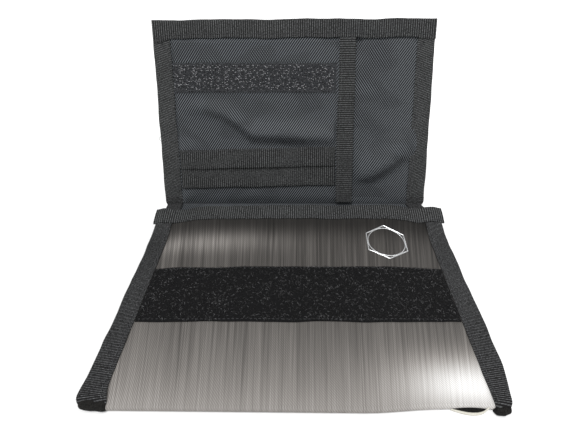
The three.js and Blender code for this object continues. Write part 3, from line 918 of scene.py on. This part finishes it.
def flap_ply(name, material, us, hs, level, thickness, lower=None):
    """A sheet on the flap whose underside is at level(u, h), with its lower edge along lower(u)."""
    u, share = np.meshgrid(us, np.linspace(0, 1, len(hs)), indexing="ij")
    h = np.interp(share, np.linspace(0, 1, len(hs)), hs)
    if lower is not None:
        h = h + (lower(u) - hs[0]) * (1 - share)
    low = level(u, h)
    solids = shell(Solids(), flap_point(u, h, low + thickness), flap_point(u, h, low), stack(u, h))
    return solids.make(name, material)


def between_levels(edge, middle, u, h):
    return edge + (middle - edge) * open_share(u, h)


# Finer stations where the flap's plies step up beside the side tapes and the top tape.
AT_SIDE_TAPE = spread(102, 109, 0.7)
AT_TOP_TAPE = spread(140, 146, 0.6)


def flap_covers():
    us = stations(spread(-FLAP_PLY_EDGE, FLAP_PLY_EDGE, 3.2), AT_SIDE_TAPE, -AT_SIDE_TAPE)
    hs = stations(spread(FLAP_START, FLAP_PLY_TOP, 3.2), AT_TOP_TAPE)

    def cover(u, h):
        return between_levels(FLAP_TAPE + PLY_GAP, 0.0, u, h)

    piece = flap_ply("printed_flap", flap_print, us, hs, cover, CLOTH)
    finish_piece(piece, "flap", "print_cloth", "flap_cover")

    def lining(u, h):
        hang = panel_wrinkle(u, h) * smooth((u - DIVIDER_RIGHT) / 6)
        return between_levels(FLAP_LINING_EDGE, FLAP_LINING_MIDDLE, u, h) + hang

    piece = flap_ply("flap_lining_cloth", lining_cloth, us, hs, lining, LINING)
    finish_piece(piece, "flap", "lining_cloth", "flap_lining")


def strip_slope(u):
    """The card pockets' mouths run up a little to the right."""
    start = upper_strip[0][0]
    return STRIP_SLOPE * (np.clip(u, start, DIVIDER_LEFT) - start) / (DIVIDER_LEFT - start) - STRIP_SLOPE / 2


def mouth_bow(u, h, mouth, size):
    """A pocket's mouth stands a little open between its ends."""
    middle = (upper_strip[0][0] + DIVIDER_LEFT) / 2
    half = (DIVIDER_LEFT - upper_strip[0][0]) / 2
    return size * hump((u - middle) / half) * np.exp(-np.maximum(h - mouth, 0) / 14)


def pocket_level(edge, middle, at_divider, wrinkle_share, mouth, bow):
    def level(u, h):
        near_divider = smooth((u - DIVIDER_LEFT + 3.2) / 3)
        centre = middle + (at_divider - middle) * near_divider
        soft = wrinkle_share * pocket_wrinkle(u, h) * (1 - near_divider)
        sunk = 0.0 if bow else 1.25 * open_share(u, h) * smooth((mouth + 5 - h) / 5)
        return between_levels(edge, centre, u, h) - sunk + soft + mouth_bow(u, h, mouth, bow)
    return level


POCKETS = (
    # name, edge, middle and divider level, share of the wrinkle, mouth height, how far the mouth bows
    ("document_pocket", 2.3, 3.5, 3.5, 0.3, 1.0, 0.0),
    ("lower_card_pocket", 2.9, 4.7, 4.1, 0.6, lower_strip[0][1] + 0.7, 0.3),
    ("upper_card_pocket", 3.5, 5.9, 4.7, 1.0, upper_strip[0][1] + 0.7, 0.6),
)


def pocket_panels():
    us = stations(spread(PANEL_LEFT, PANEL_RIGHT, 2.6), -AT_SIDE_TAPE, spread(32, 40, 0.8))
    for name, edge, middle, at_divider, wrinkle_share, mouth, bow in POCKETS:
        hs = stations(spread(mouth, FLAP_PLY_TOP, 2.6), AT_TOP_TAPE)
        level = pocket_level(edge, middle, at_divider, wrinkle_share, mouth, bow)
        slope = (lambda u: mouth + strip_slope(u)) if bow else None
        piece = flap_ply(f"{name}_cloth", lining_cloth, us, hs, level, POCKET, slope)
        finish_piece(piece, "flap", "lining_cloth", name)


def pocket_strips():
    kinds = (("lower", lower_strip, POCKETS[1], lower_strip[1][1] - lower_strip[0][1]),
             ("upper", upper_strip, POCKETS[2], upper_strip[1][1] - upper_strip[0][1]))
    for name, (low, high), (_, edge, middle, at_divider, wrinkle_share, mouth, bow), width in kinds:
        level = pocket_level(edge, middle, at_divider, wrinkle_share, mouth, bow)
        seed = 110 + len(name) + int(mouth)

        def place(u, a, b, seed=seed, level=level, mouth=mouth):
            h = mouth - 0.7 + strip_slope(u) + a + wobble(u, seed, 70, 0.3)
            return flap_point(u, h, level(u, np.maximum(h, mouth)) + b)

        low_b = -(PLY_GAP + SLIM_TAPE)
        high_b = POCKET + PLY_GAP + SLIM_TAPE
        run = (-FLAP_TAPE_INNER + 1.2, DIVIDER_LEFT - 0.6)
        tape = Tape(run, width, low_b, high_b, SLIM_TAPE, place, seed, rib=0.12)
        node = f"{name}_pocket_binding"
        add_tape(tape, f"{name}_pocket_tape", binding_cloth, "flap", "binding_tape", node)
        if name == "upper":
            rows = Solids()
            tape.stitch(rows, share=0.93, run=(run[0] + 3, run[1] - 1))
            finish_piece(rows.make("pocket_tape_stitches", thread), "flap", "binding_tape")


# ---------------------------------------------------------------- the flap's tapes

def flap_tapes():
    def left_height(h):
        return FLAP_TAPE_BASE[-1] + 0.8 * smooth((h - 9) / 6) + 0.5 * smooth((h - 26) / 8)

    def edge_place(side):
        def place(h, a, b):
            edge = FLAP_HALF + flap_flare(side, h) + wobble(h, 120 + side, 60, 0.3)
            return flap_point(side * (edge - a), h, b)
        return place

    end = FLAP_TOP - FLAP_TAPE_WIDTH - 0.1
    stitches = Solids()
    for name, side, height in (("left", -1, left_height), ("right", 1, FLAP_TAPE_BASE[1])):
        def width(h, side=side):
            return FLAP_TAPE_WIDTH + flap_flare(side, h) - INNER_SHIFT[side]

        place, run = edge_place(side), (FLAP_START, end)
        tape = Tape(run, width, 0.0, height, FLAP_TAPE, place, 130 + side, 0.1, EDGE_RIB, EDGE_SLANT)
        node = f"flap_binding_{name}"
        add_tape(tape, f"flap_side_tape_{name}", edge_cloth, "flap", "binding_tape", node)
        tape.stitch(stitches, run=(FLAP_START + 1, end - 3))
        if side < 0:
            for h in (FLAP_START + 1.5, 16.5):
                bar_tack(stitches, tape, h)

    step_start, step_end = DIVIDER_RIGHT + 2, DIVIDER_RIGHT + 7

    def top_height(u):
        left, right = top_tape[1][2] + 0.75, right_tape[1][2] + 0.75
        return left + (right - left) * smooth((u - step_start) / (step_end - step_start))

    def top_width(u):
        slant = 3.4 * smooth((-104 - u) / 16) + 1.2 * smooth((u - 106) / 10)
        return FLAP_TAPE_WIDTH + slant + wobble(u, 141, 50, 0.3)

    def top_place(u, a, b):
        h = FLAP_TOP + wobble(u, 142, 80, 0.45) - a
        back = (b < 0.5) & (a > FLAP_TAPE_WIDTH)
        h = np.where(back, FLAP_TOP - FLAP_TAPE_WIDTH, h)
        return flap_point(u, h, b)

    tape = Tape((-FLAP_HALF + 0.2, FLAP_HALF + 1.6), top_width, 0.0, top_height, FLAP_TAPE, top_place, 143)
    add_tape(tape, "flap_top_tape", binding_cloth, "flap", "binding_tape", "flap_binding_top")
    tape.stitch(stitches, share=0.78)

    low, high = divider[0][2], divider[1][2]

    def divider_place(h, a, b):
        lean = 0.9 * smooth((70 - h) / 70) - 0.6 * smooth((h - 90) / 40)
        return flap_point(DIVIDER_RIGHT + lean + wobble(h, 151, 70, 0.25) - a, h, b)

    def divider_width(h):
        return DIVIDER_RIGHT - DIVIDER_LEFT - 1.5 * smooth((h - 60) / 60)

    run = (divider[0][1] - 2.2, FLAP_TOP - FLAP_TAPE_WIDTH - 0.3)
    tape = Tape(run, divider_width, low, high, FLAP_TAPE, divider_place, 152)
    add_tape(tape, "divider_tape", binding_cloth, "flap", "binding_tape", "divider_binding")
    tape.stitch(stitches, share=0.87)
    tape.stitch(stitches, share=0.93, run=(FLAP_START, 14))
    finish_piece(stitches.make("flap_stitches", thread), "flap", "binding_tape")


def bar_tack(solids, tape, h):
    """A dense row of stitches across the left tape."""
    def place(s, b):
        return tape.place(h + 0.35 * np.sin(s * 2.2), s, tape.top(h + 0 * s) + b)
    stitch_row(solids, 1.5, FLAP_TAPE_WIDTH - 0.3, place, pitch=1.5, length=1.7, radius=0.3)


def hook_strip():
    low, high = hooks

    def askew(u):
        return 0.7 * (low[0] - u) / (high[0] - low[0]) + 0.35

    us = spread(low[0] - 1.5, high[0] + 1.5, 1.7)
    hs = spread(low[1], high[1], 1.2)
    u, h = np.meshgrid(us, hs, indexing="ij")
    drawn_h = h + askew(u) + wobble(u, 161, 60, 0.3)
    under = low[2] + pocket_wrinkle(u, drawn_h)
    margin = np.minimum(h - low[1], high[1] - h)
    top = under + 0.55 + 0.25 * hump((margin - 1.3) / 1.1)
    outer, inner = flap_point(u, drawn_h, top), flap_point(u, drawn_h, under)
    base = shell(Solids(), outer, inner, stack(u, h)).make("hook_strip_base", hook_base)
    finish_piece(base, "flap", "hook_tape", "hook_strip")

    draw = np.random.default_rng(162)
    columns, rows = np.arange(low[0], high[0], 1.75), np.arange(low[1] + 2.6, high[1] - 2.2, 1.3)
    pu, ph = (grid.ravel() for grid in np.meshgrid(columns, rows, indexing="ij"))
    keep = draw.random(pu.size) > 0.08
    pu = pu[keep] + draw.uniform(-0.45, 0.45, keep.sum())
    ph = ph[keep] + draw.uniform(-0.3, 0.3, keep.sum())
    count = pu.size
    tilt = askew(pu)
    ground = low[2] + pocket_wrinkle(pu, ph) + 0.5
    foot = flap_point(pu, ph + tilt, ground)
    normal = flap_point(pu, ph + tilt, ground + 1) - foot
    side = np.where(draw.random(count) > 0.5, 1.0, -1.0)
    swing = draw.uniform(-0.6, 0.6, count)
    along_u = flap_point(pu + 1, ph + tilt, ground) - foot
    along_h = flap_point(pu, ph + tilt + 1, ground) - foot
    heading = side[:, None] * (np.cos(swing)[:, None] * along_u + np.sin(swing)[:, None] * along_h)
    bend = np.radians([0, 55, 110, 165])
    stem = [(0.0, 0.0), (0.0, 0.45)]
    curl = [(0.42 - 0.42 * math.cos(t), 0.7 + 0.42 * math.sin(t)) for t in bend]
    shape = np.array(stem + curl)[None] * draw.uniform(0.8, 1.15, (count, 1, 1))
    solids = loops_or_hooks(Solids(), foot, normal, heading, shape, 0.15, 4,
                            stack(draw.uniform(0, 100, count), draw.uniform(0, 100, count)))
    finish_piece(solids.make("hook_strip_hooks", hook_wire), "flap", "hook_tape")

    rows = Solids()
    for h_row in (low[1] + 1.3, high[1] - 1.3):
        stitch_row(rows, low[0], high[0], lambda s, b: flap_point(
            s, h_row + askew(s), low[2] + 0.75 + b))
    finish_piece(rows.make("hook_strip_stitches", thread), "flap", "hook_tape")


def loose_thread():
    """A short end of thread that sticks out of the flap's left tape."""
    t = np.linspace(0, 1, 9)
    u = -FLAP_HALF + 0.4 - 3.2 * np.sin(t * 2.6)
    h = 64 - 4.5 * t ** 1.3
    line = flap_point(u, h, 2.4 + 0.8 * t)[None]
    across = flap_point(0, 0, 1.0)[None] - flap_point(0, 0, 0.0)[None]
    piece = tubes(Solids(), line, across, 0.16, 6, np.zeros((1, 2))).make("loose_thread", thread)
    finish_piece(piece, "flap", "binding_tape")


# ---------------------------------------------------------------- materials

class Graph:
    """Shader nodes of one material: numbers or sockets go in, sockets come out."""

    def __init__(self, name, **settings):
        self.material = bpy.data.materials.new(name)
        self.material.use_nodes = True
        self.tree = self.material.node_tree
        self.shader = self.tree.nodes["Principled BSDF"]
        for socket, value in settings.items():
            self.shader.inputs[socket.replace("_", " ")].default_value = value

    def node(self, kind, *inputs, **settings):
        node = self.tree.nodes.new(kind)
        for key, value in settings.items():
            setattr(node, key, value)
        for place, value in enumerate(inputs):
            self.put(node.inputs[place], value)
        return node

    def put(self, socket, value):
        if isinstance(value, bpy.types.NodeSocket):
            self.tree.links.new(value, socket)
        elif value is not None:
            socket.default_value = value

    def math(self, operation, *inputs, clamp=False):
        return self.node("ShaderNodeMath", *inputs, operation=operation, use_clamp=clamp).outputs[0]

    def add(self, a, b):
        return self.math("ADD", a, b)

    def times(self, a, b):
        return self.math("MULTIPLY", a, b)

    def flat(self):
        """The flat (u, v) of the cloth in mm, as a vector and as two numbers."""
        vector = self.node("ShaderNodeUVMap", uv_map="flat").outputs[0]
        parts = self.node("ShaderNodeSeparateXYZ", vector).outputs
        return vector, parts[0], parts[1]

    def stretched(self, vector, across, along):
        scale = (across, along, 1.0)
        return self.node("ShaderNodeVectorMath", vector, scale, operation="MULTIPLY").outputs[0]

    def noise(self, vector, detail=3.0, rough=0.6, scale=1.0):
        node = self.node("ShaderNodeTexNoise", noise_dimensions="3D")
        self.put(node.inputs["Vector"], vector)
        node.inputs["Scale"].default_value = scale
        node.inputs["Detail"].default_value = detail
        node.inputs["Roughness"].default_value = rough
        return node.outputs[0]

    def wave(self, value, period):
        """From 0 to 1 and back over each period."""
        turned = self.math("COSINE", self.times(value, 2 * math.pi / period))
        return self.math("MULTIPLY_ADD", turned, 0.5, 0.5)

    def bell(self, value, centre, width):
        """1 at the centre, falling off like a bell."""
        far = self.times(self.add(value, -centre), 1 / width)
        return self.math("EXPONENT", self.times(self.times(far, far), -1.0))

    def ramp(self, value, *stops):
        node = self.node("ShaderNodeValToRGB", value)
        elements = node.color_ramp.elements
        while len(elements) < len(stops):
            elements.new(0.5)
        for element, (place, level) in zip(elements, stops):
            element.position = place
            element.color = (level, level, level, 1)
        return node.outputs[0]

    def tint(self, colour, level):
        """A colour made lighter or darker by level."""
        scaled = self.node("ShaderNodeVectorMath", colour, operation="SCALE")
        self.put(scaled.inputs["Scale"], level)
        return scaled.outputs[0]

    def use(self, colour=None, roughness=None, height=None, strength=0.5, distance=0.0003):
        if colour is not None:
            self.put(self.shader.inputs["Base Color"], colour)
        if roughness is not None:
            self.put(self.shader.inputs["Roughness"], roughness)
        if height is not None:
            bump = self.node("ShaderNodeBump")
            bump.inputs["Strength"].default_value = strength
            bump.inputs["Distance"].default_value = distance
            self.put(bump.inputs["Height"], height)
            self.put(self.shader.inputs["Normal"], bump.outputs[0])
        return self.material


def print_material(name, brightness_map):
    """Fine twill printed like brushed steel, with streaks along the cloth and the soft light and dark of the
    brightness it is given, which on the pouch's front is partly painted light and shade.
    """
    g = Graph(name, Specular_IOR_Level=0.12)
    _, u, v = g.flat()
    fan = g.math("DIVIDE", u, g.math("MULTIPLY_ADD", g.math("MAXIMUM", v, 0.0), FAN, 1.0))
    fanned = g.node("ShaderNodeCombineXYZ", fan, v).outputs[0]
    wide = g.noise(g.stretched(fanned, 0.17, 0.003), detail=2, rough=0.5)
    fine = g.noise(g.stretched(fanned, 0.62, 0.006), detail=4, rough=0.7)
    scratch = g.noise(g.stretched(fanned, 1.5, 0.012), detail=2, rough=0.6)
    streaks = g.add(g.times(g.add(wide, -0.5), 0.20), g.times(g.add(fine, -0.5), 0.62))
    streaks = g.add(streaks, g.times(g.add(scratch, -0.5), 0.40))
    deep = g.math("MULTIPLY_ADD", g.math("MULTIPLY", v, 1 / 150, clamp=True), 0.9, 1.0)
    brightness_level = brightness_map(g, u, v)
    calm = g.math("MULTIPLY_ADD", brightness_level, -1.7, 1.95, clamp=True)
    level = g.times(brightness_level, g.add(g.times(g.times(streaks, deep), calm), 1.0))
    twill = g.wave(g.add(g.times(v, 0.8), u), 1.5)
    level = g.times(level, g.math("MULTIPLY_ADD", twill, 0.16, 0.92))
    linear = g.times(g.math("POWER", g.math("MAXIMUM", level, 0.02), 2.2), PRINT_GAIN)
    linear = g.math("MINIMUM", linear, 0.93)
    pale = g.math("MULTIPLY_ADD", level, 2.4, -1.35, clamp=True)
    green = g.times(linear, g.math("MULTIPLY_ADD", pale, 0.055, 0.935))
    blue = g.times(linear, g.math("MULTIPLY_ADD", pale, 0.10, 0.875))
    colour = g.node("ShaderNodeCombineColor", linear, green, blue).outputs[0]
    height = g.add(twill, g.times(fine, 0.5))
    rough = g.math("MULTIPLY_ADD", fine, 0.2, 0.46)
    return g.use(colour, rough, height, 0.35, 0.00012)


def front_print_and_painted_light(g, u, v):
    """Brightness of the pouch's print, partly the print's own light and dark and partly painted light and
    shade: it fades from the fold towards the mouth, is brightest near the fold on the right, where a painted
    highlight of the cloth's sheen lies over the print's light patch, has a lighter band on the upper left,
    and is darker under the mouth tape with painted shade.
    """
    far = g.math("MULTIPLY_ADD", v, 1 / 160, -3.5 / 160, clamp=True)
    fading = g.times(g.math("EXPONENT", g.times(far, -1 / 0.34)), 0.295)
    # Painted shade: the print is darkened just under the mouth tape, where the tape shades it.
    shade = g.times(g.bell(far, 1.0, 0.11), -0.12)
    base = g.add(g.add(fading, 0.29), shade)
    # Painted highlight: the cloth's sheen near the fold on the right, laid over the print's own light patch.
    print_patch_and_painted_highlight = g.times(g.bell(u, 104, 40), g.bell(v, 16, 18))
    band = g.times(g.bell(u, -80, 60), g.bell(v, 139, 12))
    level = g.add(base, g.add(g.times(print_patch_and_painted_highlight, 0.48), g.times(band, 0.20)))
    left = g.times(g.bell(u, -108, 45), 0.03)
    return g.add(level, left)


def plain_artwork(g, u, v):
    """Brightness of the print on the flap's outer face."""
    slow = g.bell(u, 40, 70)
    far = g.bell(v, 60, 70)
    return g.add(0.36, g.times(g.times(slow, far), 0.2))


def lining_material():
    """Nylon oxford cloth, near black with a cold tint."""
    g = Graph("lining_cloth", Specular_IOR_Level=0.2)
    vector, u, v = g.flat()
    one = g.wave(g.add(u, g.times(v, 0.72)), WEAVE)
    two = g.wave(g.add(u, g.times(v, -0.72)), WEAVE)
    slow = g.noise(g.stretched(vector, 0.022, 0.03), detail=1)
    turn = g.math("MULTIPLY_ADD", g.add(slow, -0.5), 5.0, 0.1, clamp=True)
    weave = g.add(g.times(one, turn), g.times(two, g.math("SUBTRACT", 1.0, turn)))
    grain = g.noise(g.stretched(vector, 1.1, 1.1), detail=2)
    level = g.add(g.times(g.math("POWER", weave, 2.4), 3.3), g.times(g.add(grain, -0.5), 0.8))
    level = g.math("MAXIMUM", level, 0.02)
    rough = g.math("MULTIPLY_ADD", weave, -0.15, 0.62)
    colour = g.tint((0.048, 0.0525, 0.0575), level)
    return g.use(colour, rough, g.add(weave, g.times(grain, 0.3)), 0.8, 0.0004)


def tape_material(name, colour, level, contrast, pitch=RIB, slant=0.0, sharp=1.5):
    """Ribbed grosgrain tape. The ribs lie across the tape, where the mesh has them, and the colour is
    darkened in the grooves between them as painted shade, over the tape's own grainy mottle.
    """
    g = Graph(name, Specular_IOR_Level=0.2)
    vector, u, v = g.flat()
    rib = g.wave(g.math("MULTIPLY_ADD", u, slant, v), pitch)
    grain = g.noise(g.stretched(vector, 0.9, 1.1), detail=2, rough=0.6)
    slow = g.noise(g.stretched(vector, 0.05, 0.04), detail=2)
    mean = 0.5 / sharp ** 0.55
    # Painted shade: the colour darkens in the grooves between the ribs, deepening the shading of the ribs'
    # relief; the grain and slow noise after it are the tape's own mottle.
    shade = g.math("MULTIPLY_ADD", g.math("POWER", rib, sharp), contrast, 1 - contrast * mean)
    shade = g.math("MAXIMUM", shade, 0.05)
    shade = g.times(shade, g.math("MULTIPLY_ADD", g.add(grain, -0.5), 5.0, 1.0))
    shade = g.math("MAXIMUM", g.times(shade, g.math("MULTIPLY_ADD", slow, 0.6, 0.7)), 0.04)
    threads = g.wave(u, 0.7)
    height = g.add(g.times(rib, 0.7), g.add(g.times(threads, 0.35), g.times(grain, 0.4)))
    return g.use(g.tint(tuple(c * level for c in colour), shade), 0.66, height, 0.5, 0.0003)


def pile_material(name, dark, light, spread_low, spread_high, rough=0.55):
    """Wires or loops of nylon, each a little lighter or darker than the next."""
    g = Graph(name, Roughness=rough, Specular_IOR_Level=0.5, Sheen_Weight=0.05, Sheen_Roughness=0.5)
    _, u, _ = g.flat()
    speck = g.math("FRACT", g.times(u, 7.31))
    chosen = g.ramp(speck, (spread_low, 0.0), (spread_high, 1.0))
    level = g.math("MULTIPLY_ADD", chosen, light - dark, dark)
    return g.use(g.tint((1.0, 1.0, 1.03), level))


def base_material(name, colour, mottle=4.0):
    """The woven ground under loops or hooks."""
    g = Graph(name, Roughness=0.85, Specular_IOR_Level=0.2)
    vector, u, v = g.flat()
    grain = g.noise(g.stretched(vector, 0.9, 0.9), detail=4, rough=0.7)
    weave = g.times(g.wave(u, 1.1), g.wave(v, 1.1))
    level = g.math("MULTIPLY_ADD", g.add(grain, -0.5), mottle, 0.75)
    level = g.math("MAXIMUM", g.add(level, g.times(weave, 0.5)), 0.05)
    return g.use(g.tint(colour, level), None, g.add(grain, weave), 0.7, 0.0004)


def board_material():
    g = Graph("board", Specular_IOR_Level=0.4)
    place = g.node("ShaderNodeTexCoord").outputs["Object"]
    grain = g.noise(place, detail=4, scale=900.0)
    level = g.math("MULTIPLY_ADD", grain, 0.5, 0.75)
    rough = g.math("MULTIPLY_ADD", grain, 0.2, 0.45)
    return g.use(g.tint((0.02, 0.02, 0.022), level), rough, grain, 0.2, 0.0001)


def cloth_back_material():
    """The unprinted back of the printed cloth."""
    g = Graph("cloth_back", Roughness=0.7, Specular_IOR_Level=0.2)
    place = g.node("ShaderNodeTexCoord").outputs["Object"]
    grain = g.noise(place, detail=3, scale=1200.0)
    level = g.math("MULTIPLY_ADD", grain, 0.5, 0.75)
    return g.use(g.tint((0.62, 0.60, 0.53), level), None, grain, 0.4, 0.0002)


def silver_material():
    g = Graph("silver_badge", Metallic=0.9)
    vector, _, _ = g.flat()
    brushed = g.noise(g.stretched(vector, 4.0, 0.5), detail=3)
    level = g.math("MULTIPLY_ADD", brushed, 0.14, 0.86)
    rough = g.math("MULTIPLY_ADD", brushed, 0.2, 0.22)
    return g.use(g.tint((0.86, 0.87, 0.88), level), rough, brushed, 0.1, 0.00005)


def thread_material():
    g = Graph("thread", Roughness=0.45, Specular_IOR_Level=0.5)
    _, u, _ = g.flat()
    level = g.math("MULTIPLY_ADD", g.math("FRACT", g.times(u, 3.77)), 0.5, 0.75)
    return g.use(g.tint((0.040, 0.041, 0.044), level))


def floor_material():
    g = Graph("floor", Roughness=0.9, Specular_IOR_Level=0.1)
    place = g.node("ShaderNodeTexCoord").outputs["Object"]
    level = g.math("MULTIPLY_ADD", g.noise(place, scale=2.0), 0.01, 0.9)
    return g.use(g.tint((1.0, 1.0, 1.0), level))


# ---------------------------------------------------------------- stage, light and camera

FLOOR_HALF = 9.0


def stage():
    mesh = bpy.data.meshes.new("floor")
    corners = [(-1, -1), (1, -1), (1, 1), (-1, 1)]
    mesh.from_pydata([(FLOOR_HALF * x, FLOOR_HALF * y, 0) for x, y in corners], [], [(0, 1, 2, 3)])
    mesh.materials.append(floor_material())
    floor = bpy.data.objects.new("floor", mesh)
    floor.location.z = -0.0002
    bpy.context.scene.collection.objects.link(floor)

    world = bpy.data.worlds.new("studio")
    world.use_nodes = True
    world.node_tree.nodes["Background"].inputs["Color"].default_value = (1, 1, 1, 1)
    world.node_tree.nodes["Background"].inputs["Strength"].default_value = 0.42
    bpy.context.scene.world = world
    bpy.context.scene.view_settings.view_transform = "Standard"


def add_light(name, kind, place, target, power, **settings):
    """A light turned to face its target."""
    data = bpy.data.lights.new(name, kind)
    data.energy = power
    for key, value in settings.items():
        setattr(data, key, value)
    light = bpy.data.objects.new(name, data)
    light.location = place
    light.rotation_mode = "QUATERNION"
    light.rotation_quaternion = (Vector(target) - Vector(place)).to_track_quat("-Z", "Y")
    bpy.context.scene.collection.objects.link(light)


def camera():
    """The photograph's viewpoint: low and close in front, looking down, with a slight roll."""
    place = Vector((0.00145, SPINE_FOLD * MM - 0.2853, 0.2227))
    forward = Vector((-0.01795, 0.78050, -0.62490)).normalized()
    roll = -0.013
    level_right = forward.cross(Vector((0, 0, 1))).normalized()
    level_up = level_right.cross(forward)
    right = level_right * math.cos(roll) + level_up * math.sin(roll)
    up = right.cross(forward)
    data = bpy.data.cameras.new("camera")
    data.lens = 23.87
    data.sensor_width = 36
    data.clip_start = 0.01
    data.clip_end = 50
    cam = bpy.data.objects.new("camera", data)
    cam.matrix_world = Matrix.Translation(place) @ Matrix((right, up, -forward)).transposed().to_4x4()
    bpy.context.scene.collection.objects.link(cam)
    bpy.context.scene.camera = cam


# ---------------------------------------------------------------- everything together

camera()
stage()
add_light("sun", "SUN", (-0.15, -0.38, 1.2), (0, 0, 0), 2.5, angle=0.45)
add_light("back", "AREA", (0.3, 1.3, 0.9), (0, 0.1, 0.05), 7, shape="DISK", size=0.9)
add_light("fill", "AREA", (0.8, -0.6, 0.9), (0, 0.02, 0.03), 2.5, shape="DISK", size=0.8)

print_cloth = print_material("print_cloth", front_print_and_painted_light)
flap_print = print_material("print_cloth_flap", plain_artwork)
lining_cloth = lining_material()
binding_cloth = tape_material("binding_tape", (1.0, 1.04, 1.05), 0.0315, 2.3)
edge_cloth = tape_material("edge_binding_tape", (1.0, 1.04, 1.05), 0.036, 2.1, EDGE_RIB, EDGE_SLANT)
side_tape_cloth = tape_material(
    "side_binding_tape", (1.0, 1.02, 1.05), 0.0225, 3.8, SIDE_RIB, SIDE_SLANT, sharp=3.0)
# Dark woven ground for the tapes' tucked tails, also used for the dark sheet of painted shade in the fold's
# hollow.
tail_and_gap_shade_cloth = base_material("tape_tail", (0.011, 0.0105, 0.0095))
loop_base = base_material("loop_base", (0.004, 0.004, 0.0045))
loop_pile = pile_material("loop_pile", 0.003, 0.15, 0.72, 1.0)
hook_base = base_material("hook_base", (0.040, 0.042, 0.046), 7.0)
hook_wire = pile_material("hook_wire", 0.015, 0.85, 0.48, 1.0, 0.4)
thread = thread_material()
silver = silver_material()
board = board_material()
cloth_back = cloth_back_material()
for node in ("back_stiffener", "flap_stiffener"):
    frame["nodes"][node].data.materials.clear()
    frame["nodes"][node].data.materials.append(board)

printed_pouch()
pouch_linings()
pouch_tapes()
mouth_binding()
loop_strip()
emblem()
fold_lip()
crease_plies()
crease_tapes()
flap_covers()
pocket_panels()
pocket_strips()
flap_tapes()
hook_strip()
loose_thread()
